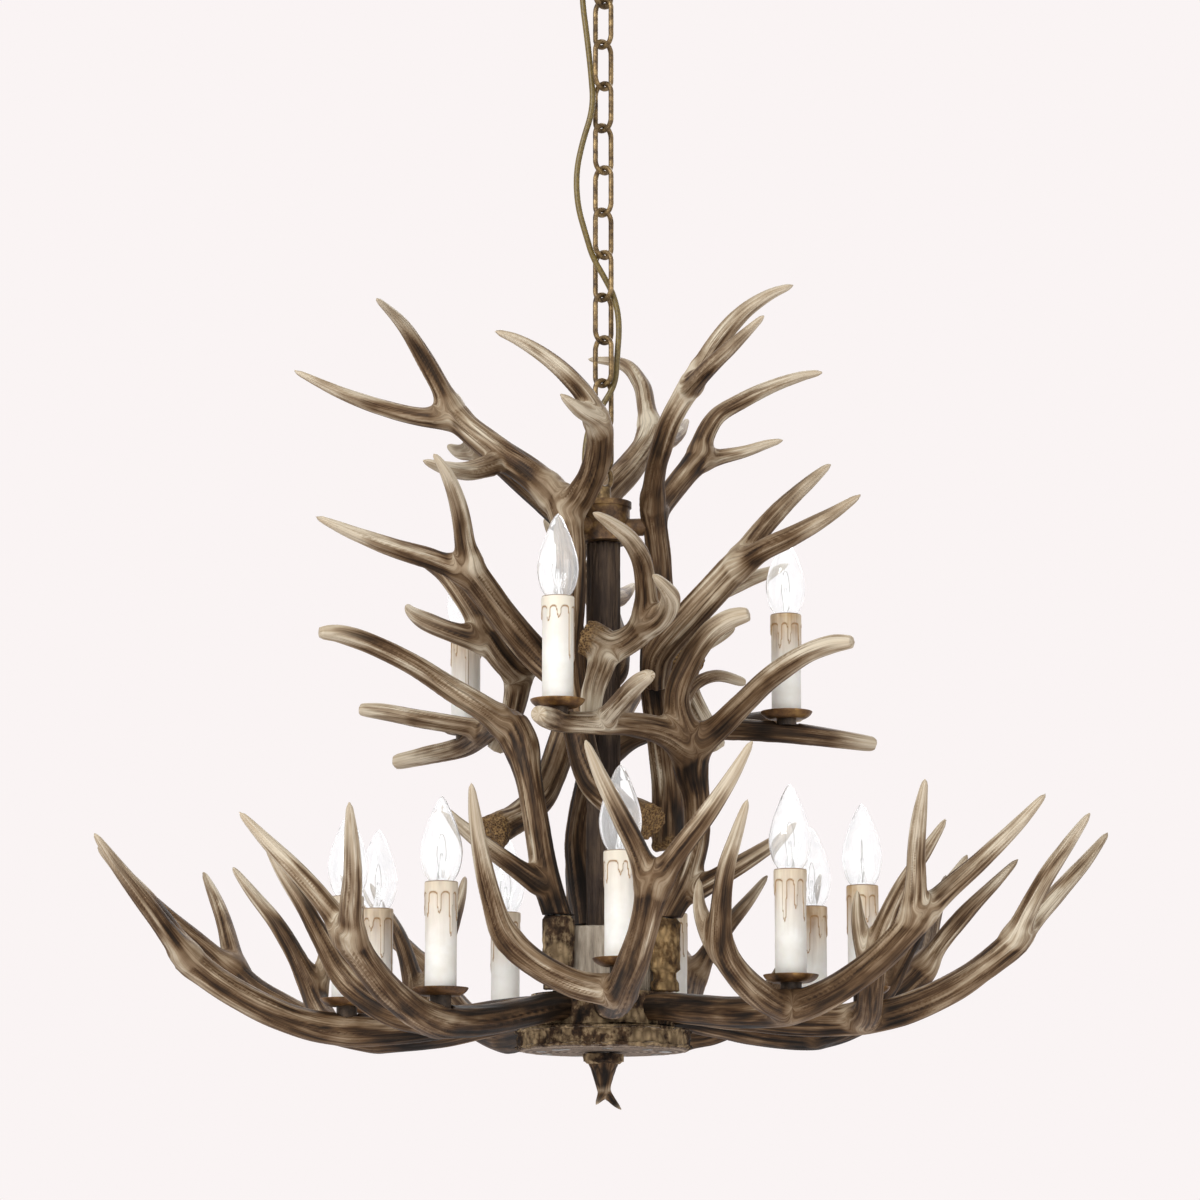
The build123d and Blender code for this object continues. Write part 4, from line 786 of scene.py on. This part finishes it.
def antler_piece(name, branches, seed, material, node, burr=False, seat=None, floor=None, voxel=VOXEL,
                 tip_reach=0.07, paleness=0.85, web=0.0036):
    """One antler: tubes along its branches under one skin, furrowed along every branch.

    A vertex moves along its normal by -0.9 (1 - ridge) thin (1 - 0.6 pale) - 1.2 (1 - lumps) thin
    + burr (4.2 bead - 2.2) mm. Its quantities are those of the branches near it, weighted by
    exp(-reach / 0.13), where reach is its distance from a branch's line over the branch's radius.
    The mesh keeps grain, groove, pale, burr and fork for the shader. The seat of a light is cut flat.
    """
    lines, frames, starts = [dense_line(branches[0])], [], [0.0]
    frames.append(line_frames(lines[0]))
    for stations in branches[1:]:
        line = dense_line(stations)
        gaps = [np.linalg.norm(other[:, :3] - line[0, :3], axis=1) for other in lines]
        parent = min(range(len(lines)), key=lambda k: gaps[k].min())
        spot = gaps[parent].argmin()
        line[:3, 3] *= (0.55, 0.75, 0.92)
        lines.append(line)
        frames.append(line_frames(line, frames[parent][0][spot]))
        starts.append(starts[parent] + LINE_STEP * spot)
    mesh = remeshed(name, joined([tube(line, frame) for line, frame in zip(lines, frames)]), voxel)
    points = settled(read(mesh.vertices, "co", 3), lines, web)
    moved(mesh, points)
    normals = read(mesh.vertex_normals, "vector", 3)
    count = len(points)

    found = [along_line(points, line) for line in lines]
    rows = [rows_of(line, arc, s) for line, (s, arc) in zip(lines, found)]
    reach = np.array([np.linalg.norm(points - row[:, :3], axis=1) / row[:, 3] for row in rows])
    weight = np.exp(-(reach - reach.min(axis=0)) / 0.13)
    weight /= weight.sum(axis=0)
    nearby = np.sort(reach, axis=0)
    fork = smoothstep(0.9, 0.2, nearby[1] - nearby[0])
    grain = np.zeros((count, 3))
    ridge, pale, thin = np.zeros((3, count))
    for k, (line, frame, (s, arc), row) in enumerate(zip(lines, frames, found, rows)):
        u, v = (((points - row[:, :3]) * rows_of(way, arc, s)).sum(axis=1) for way in frame)
        # the grain runs with the surface, so its across values are set on one radius all along
        size = np.maximum(np.hypot(u, v), 1e-6) / GRAIN_RADIUS
        grain += weight[k][:, None] * np.stack([u / size, v / size, starts[k] + s], axis=1)
        ridge += weight[k] * furrows(u, v, starts[k] + s, seed)
        tip = tip_reach if line[-1, 3] < POINTED else min(0.045, tip_reach) * (line[-1, 3] < CUT_TIP)
        if tip:
            pale += weight[k] * np.clip(1.15 - (arc[-1] - s) / tip, 0, 1)
        thin += weight[k] * np.clip((row[:, 3] - 0.003) / 0.008, 0.08, 1)
    near_burr, root = np.zeros((2, count))
    if burr:
        s = found[0][0]
        on_beam = smoothstep(1.5, 1.2, reach[0])
        knots = lattice_noise(points * 150 + 20, seed + 9)
        near_burr = np.exp(-np.maximum(s, 0) / 0.012) * on_beam
        root = smoothstep(0.024, 0.012, s + 0.012 * knots) * on_beam
    ridge = 1 - (1 - ridge) * (1 - 0.7 * fork)
    lumps = lattice_noise(points * 38 + 20, seed + 3)
    bead = lattice_noise(points * 210 + 20, seed + 4)
    pale = np.clip(paleness * pale * (0.75 + 0.5 * lattice_noise(points * 60 + 20, seed + 5)), 0, 1)
    move = -FURROW_DEPTH * (1 - ridge) * thin * (1 - 0.6 * pale) - LUMP_DEPTH * (1 - lumps) * thin
    move += near_burr * (BURR_BEAD * bead - BURR_WAIST)
    points = points + normals * move[:, None]
    if seat is not None:
        x, y, z = seat
        under = np.hypot(points[:, 0] - x, points[:, 1] - y) < SEAT_RADIUS
        under &= (points[:, 2] > z - SEAT_GAP) & (points[:, 2] < z + SEAT_HEADROOM)
        points[under, 2] = z - SEAT_GAP
    if floor is not None:
        points[:, 2] = np.maximum(points[:, 2], floor)
    moved(mesh, points)
    keep(mesh, grain=grain, groove=ridge, pale=pale, burr=root, fork=fork)
    return finished(name, mesh, material, "frame", [node])


# how pale each lower arm's worn tips are, set lower towards the back and the right as painted shade
ARM_PALENESS_AND_SHADE = [1.25, 0.9, 0.6, 0.5, 0.6, 0.7, 0.65, 0.75, 1.05]
SHADED_ARMS = (3, 4, 5, 6)    # those behind the column, drawn darker as painted shade
POST_TOP = HUB + 0.097
for number in range(ARM_COUNT):
    antler_piece(f"arm_skin_{number + 1}", [arm_placed(b, number) for b in [LOWER_BEAM] + LOWER_TINES],
                 100 + number, ANTLER_SHADED if number in SHADED_ARMS else ANTLER,
                 f"lower_antler_{number + 1}", seat=SEATS[number], paleness=ARM_PALENESS_AND_SHADE[number])
for index in range(3):
    # the upright at the back right takes the copy darkened as painted shade
    branches = [UPRIGHT_BEAM] + UPRIGHT_TINES + ([UPRIGHT_SPRIG, UPRIGHT_SPUR] if index == 0 else [])
    antler_piece(f"upright_skin_{index + 1}", [placed(b, UPRIGHT_FIT[index], UPRIGHT_RISE) for b in branches],
                 200 + index, ANTLER_SHADED if index == 1 else ANTLER, f"upright_antler_{index + 1}",
                 seat=SEATS[ARM_COUNT + index], floor=POST_TOP + 0.0002)
    antler_piece(f"middle_skin_{index + 1}",
                 [placed(b, MIDDLE_FIT[index], MIDDLE_RISE) for b in [MIDDLE_BEAM] + MIDDLE_TINES],
                 300 + index, ANTLER, f"middle_antler_{index + 1}")
    antler_piece(f"inner_skin_{index + 1}",
                 [placed(b, INNER_FIT[index], INNER_RISE) for b in [INNER_BEAM] + INNER_TINES],
                 400 + index, ANTLER, f"inner_antler_{index + 1}", burr=True)
TOP_SETS = [([TOP_BEAM] + TOP_TINES + [TOP_SPUR], TOP_FIT[0]), ([SLENDER_BEAM] + SLENDER_TINES, TOP_FIT[0]),
            ([TOP_BEAM] + TOP_TINES, TOP_FIT[1])]
for index, (branches, fit) in enumerate(TOP_SETS):
    antler_piece(f"top_skin_{index + 1}", [placed(b, fit, TOP_RISE) for b in branches],
                 500 + index, ANTLER, f"top_antler_{index + 1}", burr=True)


# ---------------------------------------------------------------- hub, column and finial
BORE = 0.0052
DISC_LOW = HUB - 0.021
BLOCK_TOP = HUB + 0.031
COLUMN_LOW, COLUMN_HIGH = HUB + 0.088, HUB + 0.437


def bored(name, outline, low, material, stands_for, turns=128):
    """A turned piece from its height low: the outline from bottom to top, then down its bore."""
    profile = np.vstack([outline, (BORE, outline[-1][1]), (BORE, outline[0][1])])
    return made(name, lathe(profile, turns, (0, 0, low)), material, "frame", stands_for)


def second_material(piece, material, chosen):
    """Gives the chosen faces the piece's second material."""
    piece.data.materials.append(material)
    piece.data.polygons.foreach_set("material_index", chosen.astype(np.int32))


disc_outline = stretches(((0.006, 0.0006), (0.074, 0.0006), 22), ((0.074, 0.0006), (0.080, 0.003), 4),
                         ((0.0805, 0.003), (0.0805, 0.019), 12), ((0.0805, 0.019), (0.077, 0.021), 3),
                         ((0.077, 0.021), (0.006, 0.021), 20))
disc = bored("hub_disc_bark", disc_outline, DISC_LOW, BARK, ["hub_disc"], 220)
roughen(disc, 0.0075, (120, 120, 60), 11, 0.0765, 0.0795)
roughen(disc, 0.0022, (420, 420, 260), 12, 0.070, 0.0725)
second_material(disc, RING_WOOD, read(disc.data.polygons, "normal", 3)[:, 2] < -0.8)

block_outline = stretches(((0.012, 0), (0.064, 0), 12), ((0.0655, 0), (0.0655, 0.028), 18),
                          ((0.064, 0.030), (0.006, 0.031), 22))
block = bored("hub_block_bark", block_outline, HUB, BARK, ["hub_block"], 200)
roughen(block, 0.005, (110, 110, 70), 21, 0.0645, 0.0655)
roughen(block, 0.0016, (420, 420, 260), 22, 0.0645, 0.0655)

drum_outline = stretches(((0.012, 0), (0.044, 0), 8), ((0.045, 0.001), (0.045, 0.056), 36),
                         ((0.044, 0.057), (0.006, 0.057), 14))
drum = bored("hub_drum_planks", drum_outline, BLOCK_TOP, PLANK, ["hub_drum"], 260)
roughen(drum, 0.0011, (330, 330, 11), 31, inside=0.043, ridged=True)

POST_OUTLINE = np.vstack([
    stretches(((0.0, 0), (0.013, 0), 6), ((0.0135, 0.001), (0.0135, 0.010), 6),
              ((0.0115, 0.012), (0.0115, 0.018), 4), ((0.0148, 0.020), (0.0148, 0.062), 26),
              ((0.0148, 0.062), (0.012, 0.066), 4), ((0.012, 0.066), (0.0, 0.066), 6)),
    (0.0, 0.066),
])
POST_OUT, POST_ANGLES = 56.0, (75.0, 195.0, 315.0)
DRUM_CLEAR = 0.0452     # the posts' inner sides keep to this radius, on the drum
posts = made("upright_posts_bark",
             joined([lathe(POST_OUTLINE, 72, (*(MM * np.array(turned(0, -POST_OUT, angle))), BLOCK_TOP))
                     for angle in POST_ANGLES]), CORK, "frame", ["upright_posts"])
roughen(posts, 0.0022, (230, 230, 150), 41, inside=-1.0)
second_material(posts, BARK, read(posts.data.polygons, "center", 3)[:, 0] <= 0.02)
points = read(posts.data.vertices, "co", 3)
radius = np.hypot(points[:, 0], points[:, 1])
points[:, :2] *= np.where(radius < DRUM_CLEAR, DRUM_CLEAR / radius, 1.0)[:, None]
moved(posts.data, points)

column_height = COLUMN_HIGH - COLUMN_LOW
column_outline = stretches(((0.008, 0), (0.0155, 0), 3),
                           ((0.016, 0.0005), (0.016, column_height - 0.0005), 150),
                           ((0.0155, column_height), (0.008, column_height), 3))
column = bored("column_bark", column_outline, COLUMN_LOW, COLUMN_WOOD, ["column"], 200)
roughen(column, 0.0022, (520, 520, 13), 51, inside=0.012, ridged=True)
roughen(column, 0.0012, (240, 240, 30), 52, inside=0.012)

cup_outline = stretches(((0.0075, -0.0125), (0.0145, -0.0105), 5), ((0.0150, -0.0105), (0.0187, -0.0075), 4),
                        ((0.0187, -0.0075), (0.0187, -0.0005), 8), ((0.0180, 0), (0.006, 0), 8))
cup = bored("finial_cup", cup_outline, DISC_LOW, BARK, (), 128)
roughen(cup, 0.0022, (260, 260, 180), 61, inside=0.008)
antler_piece("finial_cone", [placed(b) for b in [FINIAL_CONE] + FINIAL_TINES], 600, ANTLER_BROWN, "finial",
             voxel=0.0011, tip_reach=0.008, web=0.0012)


# ---------------------------------------------------------------- chain, loop and cable
def round_bar(path, radius, turns=20, seed=1, closed=True, rough=0.00012):
    """A round bar along a flat path: ring k is P[k] + (r - rough * value noise) (cos a n[k] - sin a b), with
    n beside the path and b square to its flat. A closed bar meets itself; an open one has flat ends."""
    ahead = np.roll(path, -1, axis=0) - np.roll(path, 1, axis=0) if closed else np.gradient(path, axis=0)
    ahead /= np.linalg.norm(ahead, axis=1)[:, None]
    flat = np.linalg.svd(path - path.mean(axis=0))[2][2]
    angle = 2 * np.pi * np.arange(turns)[:, None] / turns
    spokes = np.cos(angle) * np.cross(ahead, flat)[:, None] - np.sin(angle) * flat
    rings = path[:, None] + radius * spokes
    wear = rough * lattice_noise(rings.reshape(-1, 3) * 420 + 40, seed)
    vertices, faces = skin(rings - spokes * wear.reshape(len(path), turns, 1), closed)
    if not closed:
        around = np.arange(turns)[None]
        faces += [around[:, ::-1], around + len(vertices) - turns]
    return vertices, faces


def stadium(top, bottom, wire, width, angle, count=96):
    """Points at equal distances s round one link: (b cos a, c + b sin a), where b is the bend's radius,
    (width - wire) / 2, and the angle a and the bend's centre c take turns to grow with s."""
    bend = (width - wire) / 2
    straight = (top - bottom) / 2 - bend
    knots = np.cumsum([0, np.pi * bend, 2 * straight, np.pi * bend, 2 * straight])
    s = knots[-1] * np.arange(count) / count
    a = np.interp(s, knots, [0, np.pi, np.pi, 2 * np.pi, 2 * np.pi])
    centre = np.interp(s, knots, [straight, straight, -straight, -straight, straight])
    out = bend * np.cos(a)
    height = (top + bottom) / 2 + centre + bend * np.sin(a)
    return np.stack([out * math.cos(math.radians(angle)), out * math.sin(math.radians(angle)), height], axis=1)


HOOK_CONTACT, LINK_PITCH, LINK_WIRE, LINK_WIDTH, LINK_COUNT, PLAY = -0.065, 0.040, 0.0048, 0.025, 11, 0.0003
links = []
for index in range(LINK_COUNT):
    # the wire's middle line passes its neighbours' by one wire, so that the links hang in each other
    top = HOOK_CONTACT - LINK_PITCH * index + LINK_WIRE / 2
    bottom = HOOK_CONTACT - LINK_PITCH * (index + 1) - LINK_WIRE / 2
    if index <= 1:
        top += PLAY / 2
    if index in (0, LINK_COUNT - 1):
        bottom -= PLAY / 2
    path = stadium(top, bottom, LINK_WIRE, LINK_WIDTH, 45 if index % 2 else -45)
    links.append(round_bar(path, LINK_WIRE / 2, seed=index))
made("top_link_bar", links[0], BRASS, "top_link", ["chain_top_link"])
made("chain_bars", joined(links[1:]), BRASS, "chain", ["chain_links"])

CABLE_ROUTE = [
    (-20, 0, 988), (-20, 0, 952), (-15, -2, 912), (-11, 0, 876), (-9, -1, 844), (-19, -1, 812),
    (-25, -2, 782), (-23.5, -3, 750), (-15.5, -3, 722), (-9.5, -1, 702), (1, -0.8, 684), (10.6, 0, 665),
    (15, -0.5, 640), (12.5, 0, 608), (11, 0.5, 584), (-1, 0, 564), (-14, 2, 545), (-18, -3.5, 506),
    (-14.5, -4.9, 468),
]
CABLE_WIDTH, CABLE_LENGTH = 0.0055, 0.5367
cable_curve = bpy.data.curves.new("cable_line", "CURVE")
cable_curve.dimensions = "3D"
cable_curve.bevel_depth = CABLE_WIDTH / 2
cable_curve.bevel_resolution = 6
cable_curve.resolution_u = 12
cable_curve.use_fill_caps = True
spline = cable_curve.splines.new("NURBS")
spline.points.add(len(CABLE_ROUTE) - 1)
route = MM * np.array(CABLE_ROUTE) + (0, 0, HUB)
spline.points.foreach_set("co", np.hstack([route, np.ones((len(route), 1))]).ravel())
spline.order_u = 3
spline.use_endpoint_u = True
cable_curve.materials.append(CABLE)
cable = shown("cable_line", cable_curve, "chain", ["supply_cable"])


# ---------------------------------------------------------------- candle lights
PLATE_UP = [0.011] * ARM_COUNT + [0.006] * 3
PLATE_THICK, PLATE_HEIGHT = 0.001, 0.0068
SLEEVE_HEIGHT = 0.095
SLEEVE_RADIUS, SLEEVE_BORE = 0.01335, 0.0128
WAX_RADIUS_MM = 14.2    # at the drips, to turn angles into millimetres
DRIP_COUNT = 8


def sleeve(base, seed):
    """A wax sleeve: a band round the top whose lower edge arches between drips that run down.

    With t the distance from an arch's middle over half its width, the edge lies at
    9.5 + 8 (1 - sqrt(1 - t^2)) mm, and each drip carries it down by its own length. The radius is
    13.35 + 0.74 wax + 0.26 bead + 0.14 value noise mm. Returns the surface, and drop and wax.
    """
    draw = np.random.default_rng(seed)
    turns = 108
    starts = 2 * np.pi * (np.arange(DRIP_COUNT) + draw.uniform(-0.16, 0.16, DRIP_COUNT)) / DRIP_COUNT
    starts += draw.uniform(0, 6)
    lengths = draw.choice([6, 9, 14, 20, 30, 42], DRIP_COUNT) * draw.uniform(0.8, 1.1, DRIP_COUNT)
    widths = draw.uniform(1.7, 2.9, DRIP_COUNT)
    down = np.concatenate([np.arange(0, 0.056, 0.0011), np.arange(0.057, SLEEVE_HEIGHT, 0.004),
                           [SLEEVE_HEIGHT]])[:, None]
    angle = 2 * np.pi * np.arange(turns) / turns
    gap = np.abs((angle[:, None] - starts + np.pi) % (2 * np.pi) - np.pi) * WAX_RADIUS_MM
    t = np.clip(1 - gap.min(axis=1) / (np.pi * WAX_RADIUS_MM / DRIP_COUNT), 0, 0.98)
    arch = 9.5 + 8 * (1 - np.sqrt(1 - t ** 2))
    drip = (lengths * (1 - smoothstep(0.55, 1.0, gap / widths))).max(axis=1)
    edge = (arch + drip) * MM
    wax = smoothstep(-0.0009, 0.0009, edge - down)
    bead = (drip > 1) * np.exp(-((edge - 0.0025 - down) / 0.0022) ** 2)
    across = np.broadcast_arrays(down * 90, np.cos(angle) * 1.6 + 5, np.sin(angle) * 1.6 + 5)
    lump = lattice_noise(np.stack(across, axis=2).reshape(-1, 3), seed).reshape(wax.shape)
    radius = SLEEVE_RADIUS + 0.00074 * wax + 0.00026 * bead + 0.00014 * lump
    radius[0] -= 0.0005
    # up the outside, then down the bore
    bore_up = np.array([[SLEEVE_HEIGHT - 0.0003], [SLEEVE_HEIGHT * 0.5], [0.0]])
    radius = np.vstack([radius[::-1], np.full((3, turns), SLEEVE_BORE)])
    up = np.vstack([SLEEVE_HEIGHT - down[::-1], bore_up])
    rings = np.stack(np.broadcast_arrays(radius * np.cos(angle), radius * np.sin(angle), up), axis=2)
    drop = np.repeat(np.vstack([down[::-1], np.full((3, 1), 0.05)]), turns)
    return skin(rings + base, closed=True), drop, np.vstack([wax[::-1], np.zeros((3, turns))]).ravel()


PLATE_OUTLINE = [(0.0056, 0.0), (0.0152, 0.0), (0.0175, 0.0006), (0.0203, 0.0022), (0.0222, 0.0038),
                 (0.0232, 0.0052), (0.0238, 0.0062), (0.0238, 0.0068), (0.0232, 0.0068), (0.0226, 0.0058),
                 (0.0214, 0.0044), (0.0197, 0.0030), (0.0170, 0.0016), (0.0150, 0.0010), (0.0056, 0.0010)]


def out_of_round(angle, height, number):
    """A plate's rim pressed a little out of round: 1 - h / H (0.014 + 0.4 sum of b[n] sin (n + 2) a)."""
    order = np.arange(3)
    waves = 0.012 * np.sin((order + 1) * 2.1 + number)
    return 1 - np.maximum(0, height / PLATE_HEIGHT) * (0.014 + 0.4 * np.sin(np.outer(angle, order + 2)) @ waves)


STAIN = [0.45, 0.85, 1.1, 1.1, 1.0, 0.9, 0.95, 0.75, 0.7, 0.35, 1.1, 1.0]
PLATE_PLACES = SEATS + np.array(PLATE_UP)[:, None] * (0, 0, 1)
SLEEVE_PLACES = PLATE_PLACES + (0, 0, PLATE_THICK)
sleeves, drops, waxes = zip(*(sleeve(base, 900 + index) for index, base in enumerate(SLEEVE_PLACES)))
plates = [lathe(PLATE_OUTLINE, 96, base, lambda angle, height: out_of_round(angle, height, index))
          for index, base in enumerate(PLATE_PLACES)]
sleeve_piece = made("candle_sleeve_wax", joined(sleeves), WAX, "frame", ["candle_sleeves"])
keep(sleeve_piece.data, drop=np.concatenate(drops), wax=np.concatenate(waxes),
     stain=np.repeat(STAIN, [len(drop) for drop in drops]))
made("drip_plate_dishes", joined(plates), RUST, "frame", ["drip_plates"])

BULB_RADIUS, NECK, BULB_HEIGHT, GLASS_THICK = 0.018, 0.0082, 0.073, 0.0007
GLASS_KNOTS = np.array([
    (NECK, 0.0, -0.003, 0.0), (0.84 * BULB_RADIUS, 0.0, 0.12 * BULB_HEIGHT, 0.0),
    (BULB_RADIUS, 0.0, 0.34 * BULB_HEIGHT, 0.0), (0.86 * BULB_RADIUS, 0.0, 0.55 * BULB_HEIGHT, 0.0),
    (0.52 * BULB_RADIUS, 0.0, 0.78 * BULB_HEIGHT, 0.0), (0.2 * BULB_RADIUS, 0.0, 0.95 * BULB_HEIGHT, 0.0),
    (0.0, 0.0, BULB_HEIGHT, 0.0),
])


def bulb_profile(inset, low):
    """(radius, height) of the glass from the axis at its foot to its tip: a Hermite curve through the
    knots of a candle lamp's outline, set in by the wall's thickness."""
    radius, _, height, _ = dense_line(GLASS_KNOTS, 0.0022).T
    height = np.maximum(height - inset * (height > 0.06), low)
    return np.vstack([(0.0, low), np.stack([np.maximum(0.0, radius - inset), height], axis=1)[:-1],
                      (0.0, BULB_HEIGHT - inset)])


GLASS_OUTER, GLASS_INNER = bulb_profile(0.0, -0.003), bulb_profile(GLASS_THICK, -0.0022)
STEM = [(0.0, -0.0018), (0.0045, -0.0018), (0.0042, 0.004), (0.0026, 0.012), (0.0016, 0.020), (0.0012, 0.024),
        (0.0, 0.0245)]
THREAD_TURNS, THREAD_STEPS = 5, 40
thread = np.arange(THREAD_STEPS) / THREAD_STEPS
CAP = np.vstack([[(0.0, -0.0228), (0.0025, -0.0228), (0.0066, -0.0190)],
                 np.stack([0.00655 + 0.00018 * np.cos(2 * np.pi * THREAD_TURNS * thread),
                           -0.0186 + 0.0150 * thread], axis=1),
                 [(0.0066, -0.0034), (0.0, -0.0034)]])
FILAMENT_HALF, FILAMENT_LOW, FILAMENT_RISE = 0.0052, 0.0215, 0.019


def bulb_wires(top, turn):
    """A half loop of filament, (b cos a, l + r sin a), and the two straight leads up to its feet."""
    ahead = np.array((math.cos(turn), math.sin(turn), 0.0))
    upward = np.array((0.0, 0.0, 1.0))
    a = np.linspace(0, np.pi, 25)[:, None]
    loop = top + FILAMENT_HALF * np.cos(a) * ahead + (FILAMENT_LOW + FILAMENT_RISE * np.sin(a)) * upward
    t = np.linspace(0, 1, 8)[:, None]
    leads = [top + side * FILAMENT_HALF * (0.3 + 0.7 * t) * ahead + (0.003 + 0.0187 * t) * upward
             for side in (-1, 1)]
    return joined([round_bar(path, radius, 8, closed=False, rough=0.0)
                   for path, radius in ((loop, 0.00022), (leads[0], 0.00018), (leads[1], 0.00018))])


for index, base in enumerate(SLEEVE_PLACES):
    top = base + (0, 0, SLEEVE_HEIGHT)
    body = f"bulb_{index + 1:02d}"
    vertices, faces = lathe(GLASS_INNER, 56, top)
    walls = joined([lathe(GLASS_OUTER, 56, top), (vertices, [block[:, ::-1] for block in faces])])
    made(f"bulb_glass_{index + 1:02d}", walls, GLASS, body, [body])
    made(f"bulb_stem_{index + 1:02d}", lathe(STEM, 24, top), GLASS, body)
    made(f"bulb_wires_{index + 1:02d}", bulb_wires(top, 0.7 * index), WIRE, body)
    made(f"bulb_cap_{index + 1:02d}", lathe(CAP, 40, top), BRASS, body)

# ---------------------------------------------------------------- finishes of the CAD nodes
FINISH = {
    "ceiling_bracket": STEEL, "ceiling_canopy": BRASS, "canopy_screws": BRASS, "ceiling_hook": BRASS,
    "hook_nut": STEEL, "terminal_block": TERMINAL, "cable_bush": COLLAR_METAL, "hanging_loop": BRASS,
    "collar": COLLAR_METAL, "collar_lid": COLLAR_METAL, "stem_tube": STEEL, "antler_bosses": COLLAR_METAL,
    "lampholders": HOLDER, "candle_fixings": DARK_METAL, "frame_screws": STEEL,
}
for name, material in FINISH.items():
    mesh = frame["nodes"][name].data
    mesh.materials.clear()
    mesh.materials.append(material)

# ---------------------------------------------------------------- floor and light
PALE = linear("faf4f4")
FLOOR_Z, FLOOR_HALF = -1.9, 7.0
FADE_START, FADE_END, GLOW_SHARE = 1.5, 5.0, 0.75
WORLD_LEVEL = 0.37


def seen_directly(tree):
    """1 for what the camera sees straight, in a mirror or through glass, and 0 for what lights things."""
    rays = add(tree, "LightPath").node.outputs
    seen = add(tree, "Math", (rays["Is Camera Ray"], rays["Is Glossy Ray"]), operation="MAXIMUM")
    return add(tree, "Math", (seen, rays["Is Transmission Ray"]), operation="MAXIMUM")


# matt studio paint: near the object its own shading stays in view, so the shadow shows; further out
# it fades into the background's plain colour
stage_material, stage_shader = new_material("matt_studio_paint", Roughness=1.0, Base_Color=PALE)
tree = stage_material.node_tree
floor_point = add(tree, "TexCoord", output="Object")
far = add(tree, "VectorMath", (floor_point, (0, 0, FLOOR_Z)), "Value", operation="DISTANCE")
share = add(tree, "MapRange", (far, FADE_START, FADE_END, GLOW_SHARE, 1.0), interpolation_type="SMOOTHSTEP")
share = add(tree, "Math", (seen_directly(tree), share), operation="MULTIPLY")
glow = add(tree, "Emission", {"Color": PALE, "Strength": 1.0})
blend = add(tree, "MixShader", (share, stage_shader.outputs[0], glow))
feed(tree.nodes["Material Output"], {"Surface": blend})
corners = np.array([(-1, -1, 0), (1, -1, 0), (1, 1, 0), (-1, 1, 0)]) * FLOOR_HALF + (0, 0, FLOOR_Z)
floor_mesh = filled(bpy.data.meshes.new("floor"), (corners, [np.array([(0, 1, 2, 3)])]))
floor_mesh.materials.append(stage_material)
floor = bpy.data.objects.new("floor", floor_mesh)
bpy.context.scene.collection.objects.link(floor)

world = bpy.data.worlds.new("soft_world")
bpy.context.scene.world = world
world.use_nodes = True
tree = world.node_tree
ground = tree.nodes["Background"]
feed(ground, {"Color": (1, 1, 1, 1), "Strength": WORLD_LEVEL})
pale_ground = add(tree, "Background", {"Color": PALE, "Strength": 1.0})
blend = add(tree, "MixShader", (seen_directly(tree), ground.outputs[0], pale_ground))
feed(tree.nodes["World Output"], {"Surface": blend})


def area_light(name, place, target_height, size, power):
    """A square lamp that faces the column's axis at a height."""
    data = bpy.data.lights.new(name, "AREA")
    data.size = size
    data.energy = power
    lamp = bpy.data.objects.new(name, data)
    bpy.context.scene.collection.objects.link(lamp)
    lamp.location = place
    lamp.rotation_euler = (Vector((0, 0, target_height)) - lamp.location).to_track_quat("-Z", "Y").to_euler()


area_light("key", (-1.6, -2.4, 0.9), -0.75, 1.8, 80)
area_light("fill", (2.4, -2.2, -0.4), -0.75, 2.2, 25)
area_light("under", (0.2, -1.6, -1.85), -0.8, 1.4, 10)
area_light("rim", (0.6, 1.9, 0.8), -0.7, 1.6, 26)

bpy.context.scene.view_settings.view_transform = "Standard"
